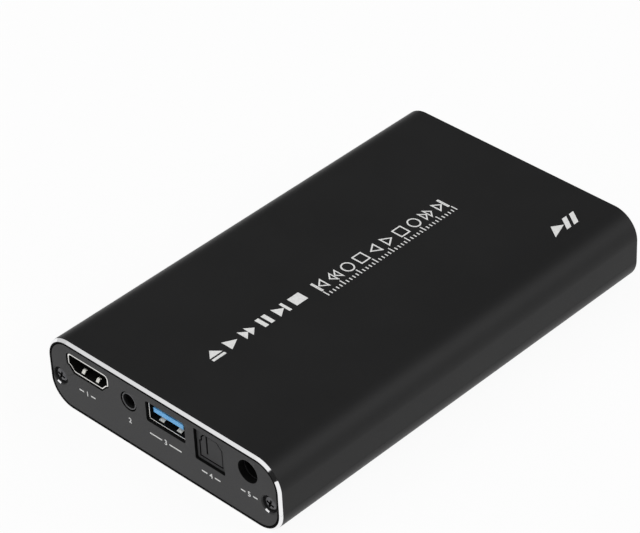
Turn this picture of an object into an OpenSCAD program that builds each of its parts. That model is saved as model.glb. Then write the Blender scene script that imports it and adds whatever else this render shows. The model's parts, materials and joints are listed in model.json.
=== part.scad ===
// Hard disk media player: an extruded aluminium sleeve, closed by two inset end plates,
// with a moulded tray inside that carries the port board, the hard drive and the
// remote-control sensor. Millimetres, +Z up, +Y from the port end to the far end.
// The origin is the centre of the underside.

/* [Hard drive] */
// Width of the hard drive
drive_w = 69.85; // [69.6:0.05:69.95]
// Length of the hard drive
drive_l = 100; // [99.8:0.1:100.2]
// Height of the hard drive
drive_h = 9.5; // [9.5:0.1:10]
// Outer diameter of a platter
platter_d = 65; // [63:0.5:65]
// Thickness of a platter
platter_t = 0.64; // [0.5:0.02:0.8]
// How far the drive moves back to leave its socket
unplug_travel = 4.4; // [4.2:0.1:5]

/* [Housing] */
// Thickness of the sleeve's wall
wall_t = 1.3; // [1.1:0.1:1.4]
// Outer radius of the sleeve's four long corners
corner_r = 7.7; // [6.5:0.1:8.2]
// Width of the bright bevel cut round both ends
edge_cut = 0.8; // [0.5:0.1:0.9]
// Gap between the drive and the screw channels on the sleeve's side walls
side_gap = 0.425; // [0.3:0.025:1]
// Gap between the power jack and the sleeve's top wall
top_gap = 1.3; // [1:0.1:3]

/* [End plates] */
// Thickness of both end plates
plate_t = 1.8; // [1.5:0.1:1.9]
// How far the plates lie inside the sleeve's ends
plate_recess = 0.2; // [0.1:0.05:0.3]
// Gap between a plate and the sleeve all round
plate_gap = 0.15; // [0.1:0.05:0.25]
// Distance of the plate screws from the sleeve's side faces
screw_inset = 4; // [3.7:0.1:4.1]
// Height of the plate screws above the underside
screw_z = 9.3; // [9:0.1:9.6]
// Thread diameter of every screw
screw_d = 2; // [1.8:0.1:2.2]
// Diameter of the plate screws' pan heads
screw_head_d = 3.9; // [3.6:0.1:4.2]
// Diameter of the counterbores that the heads sit in
counterbore_d = 4.9; // [4.6:0.1:5.2]
// Length of the plate screws under the head
plate_screw_l = 6; // [5:0.5:8]

/* [Tray] */
// Gap between the tray and the sleeve
tray_gap = 0.3; // [0.2:0.05:0.4]
// Thickness of the tray's floor and walls
tray_t = 1.4; // [1.2:0.1:1.5]
// Thickness of the foam pads under the drive
pad_t = 0.5; // [0.45:0.05:0.8]

/* [Port board] */
// Height of the board's top face above the underside
board_top = 12.3; // [12.1:0.1:12.6]
// Thickness of the port board
board_t = 1.6; // [1.2:0.1:1.6]
// Depth of the port board from the port plate inwards
board_d = 21; // [20.8:0.1:21.2]

/* [Ports] */
// Position of the video socket across the plate
video_x = -26.2; // [-26.6:0.1:-26]
// Position of the round sound and picture jack across the plate
av_x = -11.3; // [-11.8:0.1:-11]
// Position of the data socket across the plate
data_x = 1.85; // [1.5:0.05:2.2]
// Position of the optical socket across the plate
optical_x = 17.1; // [16.9:0.1:17.3]
// Position of the power jack across the plate
power_x = 30.3; // [30:0.1:30.4]
// Bore of the round jack, for a 3.5 mm plug
av_bore_d = 3.6; // [3.55:0.05:3.7]
// Bore of the power jack, for a 5.5 mm barrel
power_bore_d = 6.3; // [6:0.1:6.4]
// Diameter of the power jack's centre pin, for a 2.1 mm barrel
power_pin_d = 2; // [1.6:0.1:2.1]
// Gap between a socket and the plate's cut-out
port_gap = 0.3; // [0.2:0.05:0.35]

/* [Window end] */
// Position of the remote-control window across the plate
window_x = 20; // [18.5:0.5:21]
// Position of the status light across the plate
light_x = 28; // [27:0.5:28.5]
// Height of both above the underside
window_z = 15.8; // [15.2:0.1:16.2]
// Diameter of the remote-control window
window_d = 5; // [4:0.5:5]
// Diameter of the status light
light_d = 2.4; // [2:0.1:3]

/* [Hidden] */
$fn = 48;
eps = 0.01;

channel_r = 1.65;
channel_slot = 0.8;
thread_hole_r = screw_d / 2 - 0.12;
clear_hole_r = screw_d / 2 + 0.15;
counterbore_depth = 1.05;
head_t = 0.85;
recess_arm = 1.9;                       // length of one cross slot in a screw head
recess_w = 0.45;
power_w = 8.6;
power_h = 7.1;

// Across the body: the drive and the row of ports lie between the screw channels, and the
// wider of the two sets the width
port_side_gap = 0.75;                   // between the power jack and its screw channel
half_drive = drive_w / 2 + side_gap;
half_ports = power_x + power_w / 2 + port_side_gap;
screw_x = max(half_drive, half_ports) + channel_r;
body_w = 2 * (screw_x + screw_inset);
inside_x = screw_x - channel_r - 0.35;  // half the width left between the channels
board_w = 2 * inside_x;

// Heights, from the sleeve's underside to its top
floor_z = wall_t + tray_gap;
tray_top = floor_z + tray_t;
drive_z = tray_top + pad_t;
drive_top = drive_z + drive_h;
rim_z = screw_z - channel_r - 0.4;      // the tray's rim passes under the screw channels
board_bottom = board_top - board_t;
body_h = board_top + power_h + top_gap + wall_t;

// Along the body, from the port end: plate, board, drive, its travel, sensor board, plate
plate_in = plate_recess + plate_t;      // depth of a plate's inner face from its end
board_y = plate_in + 0.2;
board_back = board_y + board_d;
drive_y = board_back + 0.4;
drive_back = drive_y + drive_l;
stop_gap = 0.45;                        // left between the unplugged drive and its stop
groove_lip = 0.75;
sensor_t = 1;
sensor_y = drive_back + unplug_travel + stop_gap + groove_lip;
end_wall_t = 1.5;
tray_end = sensor_y + sensor_t + end_wall_t;
far_in = tray_end + 0.3;
body_l = far_in + plate_in;

inner_w = body_w - 2 * wall_t;
inner_h = body_h - 2 * wall_t;
inner_r = corner_r - wall_t;

// The drive's plug: a row of two blades, one for power and one for signals
plug_up = 3.4;
plug_z = drive_z + plug_up;
plug_depth = 5.4;
plug_x = -4.8;                          // the plug lies off the drive's centre line
pitch = 1.27;
power_pins = 15;
signal_pins = 7;
blade_margin = 0.76;
blade_slot = 2.41;
blade_t = 1.2;
blade_gap = 0.2;
power_blade_w = power_pins * pitch + 2 * blade_margin;
signal_blade_w = signal_pins * pitch + 2 * blade_margin;
blade_row = power_blade_w + blade_slot + signal_blade_w;
blade_spans = [[-blade_row / 2, power_blade_w - blade_row / 2],
    [blade_row / 2 - signal_blade_w, blade_row / 2]];
nose_w = blade_row + 3;
nose_h = 3.6;
nose_l = unplug_travel - 0.4;           // how far the socket's nose reaches into the drive
socket_w = nose_w + 2.6;
socket_d = 6.5;
plug_arm = 1.8;
plug_arm_gap = 0.9;
plug_w = nose_w + 2 * (plug_arm_gap + plug_arm);

// The sensor board and its flat cable
sensor_x0 = window_x - 6.5;
sensor_x1 = light_x + 5;
sensor_z1 = window_z + 3.8;
cable_t = 0.3;
cable_w = 8;
cable_x = (window_x + light_x) / 2;
cable_z = drive_top + 0.3 + cable_t / 2;

// Depths of the sockets' faces behind the sleeve's end
video_face = plate_recess + 0.1;
data_face = plate_recess + 0.75;
optical_face = plate_recess + 0.45;
power_face = plate_in + 0.1;
video_z = board_top + 3.55;
av_z = board_top + 2.55;
data_z = board_top + 3.2;
optical_z = board_top + 2.3;
power_z = board_top + power_h / 2 + 0.02;
av_collar_r = 2.5;
data_w = 13.1;
data_h = 5.6;
optical_w = 9.6;
optical_h = 9;
optical_d = 12.6;

// Screws that hold the board to the tray's posts: [x, y]
video_half_w = 7;
video_half_h = 2.28;
video_foot = 4.9;
shell_t = 0.35;
av_w = 6.2;
post_r = 2;
post_left = (video_x + video_half_w + shell_t + av_x - av_w / 2) / 2;
post_right = (optical_x + optical_w / 2 + power_x - power_w / 2) / 2;
board_screw_at = [[-board_w / 2 + 3.5, board_back - 4], [board_w / 2 - 3.5, board_back - 4],
    [post_left, board_y + 5.8], [post_right, board_y + 5.8]];

// ---------- helpers ----------
module placed() { translate([0, -body_l / 2, 0]) children(); }

// Extrudes a profile drawn in (x, z) along +Y
module along_y(y0, len) {
    translate([0, y0 + len, 0]) rotate([90, 0, 0]) linear_extrude(height = len) children();
}

// Extrudes a profile drawn in (y, z) along +X
module along_x(x0, len) {
    translate([x0, 0, 0]) rotate([90, 0, 90]) linear_extrude(height = len) children();
}

module rod_y(x, y, z, r, len) { translate([x, y, z]) rotate([-90, 0, 0]) cylinder(r = r, h = len); }

module box(x0, x1, y0, y1, z0, z1) { translate([x0, y0, z0]) cube([x1 - x0, y1 - y0, z1 - z0]); }

// A block centred on (x, y) that stands on height z
module chip(x, y, z, w, d, h) { translate([x - w / 2, y - d / 2, z]) cube([w, d, h]); }

// Rounded rectangle, centred in x, standing on z = 0
module round_rect(w, h, r) {
    translate([-w / 2 + r, 0]) square([w - 2 * r, h]);
    translate([-w / 2, r]) square([w, h - 2 * r]);
    for (sx = [-1, 1], z = [r, h - r]) translate([sx * (w / 2 - r), z]) circle(r = r);
}

// The space inside the sleeve, drawn in by a gap
module inside_profile(gap) {
    translate([0, wall_t + gap]) round_rect(inner_w - 2 * gap, inner_h - 2 * gap, inner_r - gap);
}

// A pan-head screw on the Y axis with its head's seat at y = 0, its shank towards +Y
module pan_screw(len) {
    difference() {
        union() {
            rod_y(0, -head_t, 0, screw_head_d / 2, head_t);
            rod_y(0, -eps, 0, screw_d / 2 - 0.17, len);
        }
        for (a = [0, 90]) rotate([0, a + 20, 0])
            translate([-recess_arm / 2, -head_t - eps, -recess_w / 2]) cube([recess_arm, 0.6, recess_w]);
    }
}

// ---------- housing ----------
// A bar with the sleeve's outline and a 45 degree bevel round both ends
module bevelled_bar(w, l, h, r, c) {
    along_y(c, l - 2 * c) round_rect(w, h, r);
    for (end = [0, 1]) translate([0, end * l, 0]) mirror([0, end, 0]) {
        for (sx = [-1, 1], z = [r, h - r])
            translate([sx * (w / 2 - r), 0, z]) rotate([-90, 0, 0]) cylinder(h = c, r1 = r - c, r2 = r);
        along_x(-w / 2 + r, w - 2 * r) polygon([[0, c], [0, h - c], [c, h], [c, 0]]);
        translate([0, 0, r]) linear_extrude(height = h - 2 * r)
            polygon([[-w / 2 + c, 0], [w / 2 - c, 0], [w / 2, c], [-w / 2, c]]);
    }
}

// One screw channel: a web on the side wall with a round seat, open towards the middle
module channel_profile(side) {
    difference() {
        union() {
            translate([side * screw_x, screw_z]) circle(r = channel_r);
            translate([side > 0 ? screw_x : -body_w / 2 + wall_t / 2, screw_z - channel_r])
                square([body_w / 2 - wall_t / 2 - screw_x, 2 * channel_r]);
        }
        translate([side * screw_x, screw_z]) circle(r = thread_hole_r);
        translate([side > 0 ? screw_x - 2 * channel_r : -screw_x, screw_z - channel_slot / 2])
            square([2 * channel_r, channel_slot]);
    }
}

module housing_sleeve() {
    color([0.13, 0.13, 0.13]) placed() difference() {
        bevelled_bar(body_w, body_l, body_h, corner_r, edge_cut);
        along_y(plate_in, body_l - 2 * plate_in) difference() {
            inside_profile(0);
            channel_profile(1);
            channel_profile(-1);
        }
        for (y = [-1, far_in]) along_y(y, plate_in + 1) inside_profile(0);
    }
}

// A plate's blank with its two counterbored screw holes; the outer face is at y = 0
module plate_blank() {
    difference() {
        along_y(0, plate_t) inside_profile(plate_gap);
        for (sx = [-1, 1]) {
            rod_y(sx * screw_x, -1, screw_z, clear_hole_r, plate_t + 2);
            rod_y(sx * screw_x, -1, screw_z, counterbore_d / 2, counterbore_depth + 1);
        }
    }
}

module end_plate() {
    color([0.27, 0.27, 0.28]) placed() translate([0, body_l - plate_recess, 0]) mirror([0, 1, 0])
        difference() {
            plate_blank();
            rod_y(window_x, -1, window_z, window_d / 2, plate_t + 2);
            rod_y(light_x, -1, window_z, light_d / 2, plate_t + 2);
        }
}

module end_plate_screws() {
    color([0.35, 0.35, 0.36]) placed() for (sx = [-1, 1])
        translate([sx * screw_x, body_l - plate_recess - counterbore_depth, screw_z]) mirror([0, 1, 0])
            pan_screw(plate_screw_l);
}

// Smoked lens, pressed into the plate from inside and held by its flange
module remote_window() {
    color([0.18, 0.03, 0.05]) placed() {
        rod_y(window_x, far_in - 0.1, window_z, window_d / 2 - 0.05, plate_t + 0.1);
        rod_y(window_x, far_in - 0.15, window_z, window_d / 2 + 0.4, 0.15);
    }
}

module status_light_pipe() {
    color([0.85, 0.88, 0.9]) placed() {
        rod_y(light_x, far_in - 0.1, window_z, light_d / 2 - 0.05, plate_t + 0.1);
        rod_y(light_x, far_in - 0.15, window_z, light_d / 2 + 0.5, 0.15);
    }
}

// ---------- port plate ----------
// Outline of the video socket's opening, grown by g: wide above, drawn in below its shoulders
function video_outline(g) = [
    [-video_half_w - g, video_half_h + g], [video_half_w + g, video_half_h + g],
    [video_half_w + g, -0.45 - 0.4 * g], [video_half_w - 0.8 + g, -0.85 - 0.4 * g],
    [video_foot + 0.45 * g, -video_half_h - g], [-video_foot - 0.45 * g, -video_half_h - g],
    [-video_half_w + 0.8 - g, -0.85 - 0.4 * g], [-video_half_w - g, -0.45 - 0.4 * g]];

module port_openings() {
    translate([video_x, video_z]) polygon(video_outline(shell_t + port_gap));
    translate([av_x, av_z]) circle(r = av_collar_r + port_gap);
    translate([data_x - data_w / 2 - port_gap, data_z - data_h / 2 - port_gap])
        square([data_w + 2 * port_gap, data_h + 2 * port_gap]);
    translate([optical_x - optical_w / 2 - port_gap, optical_z - optical_h / 2 - port_gap])
        square([optical_w + 2 * port_gap, optical_h + 2 * port_gap]);
    translate([power_x, power_z]) circle(r = power_bore_d / 2 + 0.1);
}

hook_x = 15;                            // the hooks stand between the posts
hook_w = 5;
hook_z = tray_top + 2.4;
hook_t = 1.1;
front_wall_t = 1.4;
module port_plate() {
    color([0.27, 0.27, 0.28]) placed() {
        translate([0, plate_recess, 0]) difference() {
            plate_blank();
            along_y(-1, plate_t + 2) port_openings();
        }
        // Two snap hooks that latch behind the tray's front wall
        for (sx = [-1, 1]) along_x(sx * hook_x - hook_w / 2, hook_w)
            polygon([[plate_in - eps, hook_z], [plate_in + front_wall_t + 1.6, hook_z],
                [plate_in + front_wall_t + 0.9, hook_z + hook_t + 0.6],
                [plate_in + front_wall_t + 0.15, hook_z + hook_t + 0.6],
                [plate_in + front_wall_t + 0.15, hook_z + hook_t], [plate_in - eps, hook_z + hook_t]]);
    }
}

module port_plate_screws() {
    color([0.35, 0.35, 0.36]) placed() for (sx = [-1, 1])
        translate([sx * screw_x, plate_recess + counterbore_depth, screw_z]) pan_screw(plate_screw_l);
}

// ---------- tray ----------
// The tray's trough: the sleeve's inside drawn in by the gap, cut off at a height
module trough_profile(gap, top) {
    intersection() {
        inside_profile(gap);
        translate([-body_w / 2, 0]) square([body_w, top]);
    }
}

guide_l = 10;
guide_at = [18, drive_l - 16];
guide_gap = 0.25;
lighten_r = 5;
module drive_tray() {
    color([0.1, 0.1, 0.11]) placed() difference() {
        union() {
            difference() {
                along_y(plate_in, tray_end - plate_in) trough_profile(tray_gap, rim_z);
                along_y(plate_in + front_wall_t, tray_end - plate_in - front_wall_t - end_wall_t)
                    trough_profile(tray_gap + tray_t, body_h);
            }
            // Front wall under the board, and the posts that the board is screwed to
            box(-inside_x, inside_x, plate_in, plate_in + front_wall_t, tray_top, board_bottom - 1);
            for (p = board_screw_at)
                translate([p[0], p[1], tray_top - eps])
                    cylinder(r = post_r, h = board_bottom - tray_top + eps);
            // Side guides that centre the drive
            for (side = [0, 1], y = guide_at) mirror([side, 0, 0]) along_y(drive_y + y, guide_l)
                intersection() {
                    trough_profile(tray_gap + tray_t / 2, rim_z);
                    translate([drive_w / 2 + guide_gap, tray_top - 0.4]) square([body_w, body_h]);
                }
            // Grooved uprights that hold the sensor board
            for (x = [sensor_x0 - 1.2, sensor_x1 - 0.8])
                box(x, x + 2, sensor_y - groove_lip, tray_end, tray_top - eps, sensor_z1 - 1.6);
        }
        for (p = board_screw_at)
            translate([p[0], p[1], tray_top + 1]) cylinder(r = thread_hole_r, h = body_h);
        box(sensor_x0 - 0.1, sensor_x1 + 0.1, sensor_y - 0.05, sensor_y + sensor_t + 0.05,
            tray_top + 0.2, body_h);
        // Slots for the plate's snap hooks
        for (sx = [-1, 1])
            box(sx * hook_x - hook_w / 2 - 0.2, sx * hook_x + hook_w / 2 + 0.2, plate_in - 1,
                plate_in + front_wall_t + eps, hook_z - 0.15, hook_z + hook_t + 0.15);
        // Lightening holes under the drive
        for (x = [-20, 0, 20], y = [0.22, 0.42, 0.62, 0.82] * drive_l)
            translate([x, drive_y + y, 0]) cylinder(r = lighten_r, h = tray_top + 1);
    }
}

pad_w = 4.4;
pad_l = 12;
module drive_pads() {
    color([0.2, 0.2, 0.22]) placed() for (sx = [-1, 1], y = [8, drive_l - 10])
        chip(sx * (drive_w / 2 - pad_w), drive_y + y, tray_top, pad_w, pad_l, pad_t);
}

// ---------- port board ----------
// Solder feet of the two metal shells: where they stand, and their width and depth
video_feet = [for (sx = [-1, 1], y = [2.9, 9.7]) [video_x + sx * 6.55, video_face + y]];
video_foot_size = [1.1, 1.4];
data_feet = [for (sx = [-1, 1], y = [4.4, 10.6]) [data_x + sx * (data_w / 2 - 0.15), data_face + y]];
data_foot_size = [0.3, 2];

module feet(at, size, grow, top) {
    for (p = at) box(p[0] - size[0] / 2 - grow, p[0] + size[0] / 2 + grow, p[1] - size[1] / 2 - grow,
        p[1] + size[1] / 2 + grow, board_bottom - 0.4, top);
}

module main_board() {
    color([0.05, 0.25, 0.16]) placed() difference() {
        box(-board_w / 2, board_w / 2, board_y, board_back, board_bottom, board_top);
        // The optical socket is sunk into the board
        box(optical_x - optical_w / 2 - 0.2, optical_x + optical_w / 2 + 0.2, board_y - 1,
            optical_face + optical_d + 0.2, board_bottom - 1, board_top + 1);
        for (p = board_screw_at)
            translate([p[0], p[1], board_bottom - 1]) cylinder(r = clear_hole_r, h = board_t + 2);
        feet(video_feet, video_foot_size, 0.1, board_top + 1);
        feet(data_feet, data_foot_size, 0.1, board_top + 1);
    }
}

module main_board_screws() {
    color([0.75, 0.75, 0.72]) placed() for (p = board_screw_at)
        translate([p[0], p[1], board_top]) rotate([-90, 0, 0]) pan_screw(board_t + 4);
}

// ---------- video socket ----------
video_d = 11.6;
module video_socket_shell() {
    color([0.85, 0.85, 0.85]) placed() {
        difference() {
            along_y(video_face, video_d) translate([video_x, video_z]) polygon(video_outline(shell_t));
            along_y(video_face - 1, video_d + 1 - shell_t) translate([video_x, video_z])
                polygon(video_outline(0));
            // Windows that the spring fingers are cut from
            for (sx = [-1, 1])
                box(video_x + sx * 3 - 0.9, video_x + sx * 3 + 0.9, video_face + 1.6, video_face + 6.2,
                    video_z - video_half_h - 1, video_z - video_half_h + 0.2);
            for (sx = [-1, 1])
                box(video_x + sx * 3 - 0.9, video_x + sx * 3 + 0.9, video_face + 1.6, video_face + 6.2,
                    video_z + video_half_h - 0.2, video_z + video_half_h + 1);
        }
        // Spring fingers, bent inwards
        for (sx = [-1, 1], up = [-1, 1]) along_x(video_x + sx * 3 - 0.65, 1.3)
            polygon([for (q = [[6.2, 0.35], [6.2, 0], [2.9, -0.42], [1.8, 0.05], [1.8, 0.35], [2.9, -0.1]])
                [video_face + q[0], video_z + up * (video_half_h + q[1])]]);
        feet(video_feet, video_foot_size, 0, video_z - video_half_h + 0.9);
    }
}

tongue_w = 11;
tongue_t = 1.3;
tongue_l = 6.6;                         // from the socket's face to the tongue's root
tongue_z = video_z + 0.25;
module video_socket_insert() {
    color([0.05, 0.05, 0.05]) placed() {
        along_y(video_face + tongue_l, video_d - tongue_l - shell_t) translate([video_x, video_z])
            polygon(video_outline(-0.05));
        box(video_x - tongue_w / 2, video_x + tongue_w / 2, video_face + 1, video_face + tongue_l + 0.1,
            tongue_z - tongue_t / 2, tongue_z + tongue_t / 2);
    }
}

module video_socket_contacts() {
    color([0.85, 0.68, 0.3]) placed() {
        for (i = [0:9]) chip(video_x - 4.5 + i, video_face + 4, tongue_z + tongue_t / 2, 0.4, 5, 0.1);
        for (i = [0:8]) chip(video_x - 4 + i, video_face + 4, tongue_z - tongue_t / 2 - 0.1, 0.4, 5, 0.1);
    }
}

// ---------- round jack ----------
av_d = 12;
module av_jack_body() {
    color([0.06, 0.06, 0.06]) placed() difference() {
        union() {
            box(av_x - av_w / 2, av_x + av_w / 2, plate_in + 0.05, plate_in + av_d, board_top,
                board_top + 5.1);
            rod_y(av_x, plate_recess, av_z, av_collar_r, plate_t + 1);
        }
        rod_y(av_x, -1, av_z, av_bore_d / 2, plate_in + av_d);
        // Side pockets for the contact springs
        for (side = [0, 1]) translate([av_x, 0, 0]) mirror([side, 0, 0])
            box(av_bore_d / 2 - 0.2, av_w / 2 + 1, plate_in + 4, plate_in + 9.5,
                board_top + 1.5, board_top + 3.6);
    }
}

module av_jack_contacts() {
    color([0.82, 0.82, 0.78]) placed() for (side = [0, 1]) translate([av_x, 0, 0]) mirror([side, 0, 0])
        box(av_bore_d / 2 + 0.3, av_w / 2 - 0.25, plate_in + 4.1, plate_in + 9.4,
            board_top + 1.7, board_top + 3.4);
}

// ---------- data socket ----------
data_d = 14;
data_t = 0.3;
data_tongue_z = data_z + 0.75;
// A block with the data socket's outline, grown by g
module data_block(g, y0, y1) {
    box(data_x - data_w / 2 - g, data_x + data_w / 2 + g, y0, y1,
        data_z - data_h / 2 - g, data_z + data_h / 2 + g);
}

module data_socket_shell() {
    color([0.85, 0.85, 0.85]) placed() {
        difference() {
            data_block(0, data_face, data_face + data_d);
            data_block(-data_t, data_face - 1, data_face + data_d - data_t);
            for (sx = [-1, 1])
                box(data_x + sx * 3.1 - 1, data_x + sx * 3.1 + 1, data_face + 1.2, data_face + 7,
                    data_z - data_h / 2 - 1, data_z - data_h / 2 + data_t + 0.2);
        }
        for (sx = [-1, 1]) along_x(data_x + sx * 3.1 - 0.75, 1.5)
            polygon([for (q = [[7, 0], [7, 0.3], [3, 0.85], [1.6, 0.25], [1.6, 0], [3, 0.5]])
                [data_face + q[0], data_z - data_h / 2 + q[1]]]);
        feet(data_feet, data_foot_size, 0, data_z - data_h / 2 + data_t);
    }
}

data_tongue_w = 11.1;
data_tongue_t = 1.84;
module data_socket_insert() {
    color([0.15, 0.42, 0.75]) placed() {
        data_block(-data_t - 0.05, data_face + 9.4, data_face + data_d - data_t);
        box(data_x - data_tongue_w / 2, data_x + data_tongue_w / 2, data_face + 0.9, data_face + 9.5,
            data_tongue_z - data_tongue_t / 2, data_tongue_z + data_tongue_t / 2);
    }
}

module data_socket_contacts() {
    color([0.85, 0.68, 0.3]) placed() {
        for (x = [-3.5, -1, 1, 3.5])
            chip(data_x + x, data_face + 6.1, data_tongue_z - data_tongue_t / 2 - 0.15, 1, 6.6, 0.15);
        for (x = [-4, -2, 0, 2, 4])
            chip(data_x + x, data_face + 1.7, data_tongue_z - data_tongue_t / 2 - 0.1, 0.5, 1, 0.1);
    }
}

// ---------- optical socket ----------
optical_wall = 0.8;
mouth_t = 0.5;
pin_r = 0.45;
spring_wire = 0.2;
spring_r = pin_r + 0.05 + spring_wire;
pin_z = optical_z + optical_h / 2 - optical_wall - spring_r - 0.05;
shutter_t = 0.8;
shutter_y = optical_face + mouth_t + 0.35;
pin_y = shutter_y + shutter_t / 2;
shutter_half = optical_w / 2 - optical_wall - 0.2;
shutter_low = optical_z - optical_h / 2 + optical_wall + 0.2;
clip = 1.7;
// Outline of the dust flap with its clipped upper corners, drawn in by g for the mouth
function flap_outline(g) = [
    [-shutter_half + g, shutter_low + g], [shutter_half - g, shutter_low + g],
    [shutter_half - g, pin_z + 0.1 - clip], [shutter_half - clip - g / 2, pin_z + 0.1 - g / 2],
    [-shutter_half + clip + g / 2, pin_z + 0.1 - g / 2], [-shutter_half + g, pin_z + 0.1 - clip]];

module pin_x(r, x0, x1) {
    translate([optical_x + x0, pin_y, pin_z]) rotate([0, 90, 0]) cylinder(r = r, h = x1 - x0);
}

module optical_socket_body() {
    color([0.07, 0.07, 0.07]) placed() difference() {
        union() {
            box(optical_x - optical_w / 2, optical_x + optical_w / 2, optical_face, optical_face + optical_d,
                optical_z - optical_h / 2, optical_z + optical_h / 2);
            // Lugs that rest on the board
            box(optical_x - optical_w / 2 - 1.1, optical_x + optical_w / 2 + 1.1, optical_face + 9.8,
                optical_face + 11.8, board_top, board_top + 1.2);
        }
        along_y(optical_face - 1, mouth_t + 2) translate([optical_x, 0]) polygon(flap_outline(0.35));
        box(optical_x - optical_w / 2 + optical_wall, optical_x + optical_w / 2 - optical_wall,
            optical_face + mouth_t, optical_face + optical_d - 1.6,
            optical_z - optical_h / 2 + optical_wall, optical_z + optical_h / 2 - optical_wall);
        pin_x(pin_r + 0.05, -optical_w / 2 - 1, optical_w / 2 + 1);
        rod_y(optical_x, optical_face + optical_d - 2, optical_z, 2.6, 3);
    }
}

// Dust flap: hangs from a pin at its top edge, and the plug pushes it inwards and up
module optical_shutter() {
    color([0.09, 0.09, 0.09]) placed() {
        difference() {
            along_y(shutter_y, shutter_t) translate([optical_x, 0]) polygon(flap_outline(0));
            along_y(shutter_y - 1, 1.15) translate([optical_x, 0])
                polygon([[-2, shutter_low + 1.2], [2, shutter_low + 1.2], [2, pin_z - 2.4],
                    [-2, pin_z - 2.4]]);
        }
        pin_x(pin_r, -optical_w / 2 + 0.1, optical_w / 2 - 0.1);
    }
}

// Torsion spring on the pin beside the flap: its close turns, and a leg along the roof
spring_l = 0.8;
spring_leg = 1.9;
spring_x = shutter_half + 0.15 - spring_l;
module optical_shutter_spring() {
    color([0.7, 0.7, 0.7]) placed() difference() {
        union() {
            pin_x(spring_r, spring_x, spring_x + spring_l);
            box(optical_x + spring_x, optical_x + spring_x + spring_wire, pin_y, pin_y + spring_leg,
                pin_z + spring_r - spring_wire, pin_z + spring_r);
        }
        pin_x(spring_r - spring_wire, spring_x - 1, spring_x + spring_l + 1);
    }
}

module optical_transmitter() {
    color([0.12, 0.12, 0.12]) placed() {
        rod_y(optical_x, optical_face + optical_d - 1.6, optical_z, 2.5, 1.7);
        rod_y(optical_x, optical_face + optical_d - 2.6, optical_z, 1.2, 1.1);
        box(optical_x - 3.8, optical_x + 3.8, optical_face + optical_d + 0.05, optical_face + optical_d + 1,
            board_top, optical_z + 3.6);
    }
}

// ---------- power jack ----------
power_d = 14.4;
power_bore_depth = 9.6;
power_pin_start = 0.8;
pin_shank_r = power_pin_d / 2 - 0.2;    // where the pin passes through the jack's back wall
module power_jack_body() {
    color([0.05, 0.05, 0.05]) placed() difference() {
        box(power_x - power_w / 2, power_x + power_w / 2, power_face, power_face + power_d, board_top,
            board_top + power_h);
        rod_y(power_x, power_face - 1, power_z, power_bore_d / 2, power_bore_depth + 1);
        rod_y(power_x, power_face, power_z, pin_shank_r + 0.05, power_d + 1);
        // Side pocket of the barrel's spring
        box(power_x - power_bore_d / 2 - 0.7, power_x - 1, power_face + 3, power_face + 9, power_z - 1,
            power_z + 1);
    }
}

module power_jack_pin() {
    color([0.85, 0.85, 0.82]) placed() {
        rod_y(power_x, power_face + power_pin_start, power_z, power_pin_d / 2,
            power_bore_depth - power_pin_start);
        rod_y(power_x, power_face + power_bore_depth - eps, power_z, pin_shank_r,
            power_d - power_bore_depth + 0.2);
        rod_y(power_x, power_face + power_d, power_z, power_pin_d / 2 + 0.8, 0.6);
    }
}

module power_jack_spring() {
    color([0.8, 0.8, 0.78]) placed()
        translate([power_x - power_bore_d / 2, power_face, power_z - 0.8]) linear_extrude(height = 1.6)
            polygon([[-0.6, 3.2], [-0.3, 3.2], [0.25, 5.8], [-0.25, 8.8], [-0.6, 8.8], [-0.05, 5.8]]);
}

// ---------- drive socket under the board ----------
module drive_socket_body() {
    color([0.06, 0.06, 0.06]) placed() difference() {
        union() {
            box(plug_x - socket_w / 2, plug_x + socket_w / 2, board_back - socket_d, board_back,
                plug_z - nose_h / 2, board_bottom);
            box(plug_x - nose_w / 2, plug_x + nose_w / 2, board_back - 1, drive_y + nose_l,
                plug_z - nose_h / 2, plug_z + nose_h / 2);
        }
        for (b = blade_spans)
            box(plug_x + b[0] - blade_gap, plug_x + b[1] + blade_gap, board_back - 1.5, drive_y + nose_l + 1,
                plug_z - blade_t / 2 - blade_gap - 0.25, plug_z + blade_t / 2 + blade_gap);
    }
}

function pins_between(b) = [for (x = [b[0] + blade_margin + pitch / 2:pitch:b[1] - blade_margin]) x];

// Spring contacts in the socket, close under the plug's blades
module drive_socket_contacts() {
    color([0.85, 0.68, 0.3]) placed() for (b = blade_spans, x = pins_between(b))
        box(plug_x + x - 0.35, plug_x + x + 0.35, board_back - 1.5, drive_y + nose_l - 0.6,
            plug_z - blade_t / 2 - blade_gap - 0.25, plug_z - blade_t / 2 - 0.3);
}

// ---------- chips and small parts on the board ----------
cpu_w = 10;
cpu_t = 1;
cpu_at = [-23.5, board_back - cpu_w / 2 - 0.6];
sink_h = 6;
module processor() {
    color([0.08, 0.08, 0.08]) placed() chip(cpu_at[0], cpu_at[1], board_top, cpu_w, cpu_w, cpu_t);
}

module heat_sink() {
    fins = 5;
    fin_t = 0.8;
    color([0.2, 0.2, 0.2]) placed() {
        chip(cpu_at[0], cpu_at[1], board_top + cpu_t, cpu_w, cpu_w, 1.2);
        for (i = [0:fins - 1])
            chip(cpu_at[0] - (cpu_w - fin_t) / 2 + i * (cpu_w - fin_t) / (fins - 1), cpu_at[1],
                board_top + cpu_t + 1.2 - eps, fin_t, cpu_w, sink_h - 1.2);
    }
}

memory_w = 8.8;
memory_l = 9;
memory_t = 1;
memory_y = board_y + 7.4;
module memory_chips() {
    color([0.08, 0.08, 0.08]) placed()
        for (x = [video_x, post_left + post_r + 0.4 + memory_w / 2])
            chip(x, memory_y, board_bottom - memory_t, memory_w, memory_l, memory_t);
}

module flash_chip() {
    color([0.08, 0.08, 0.08]) placed() chip(-10.2, board_back - 4.3, board_top, 11.5, 6.4, 1.1);
}

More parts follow.
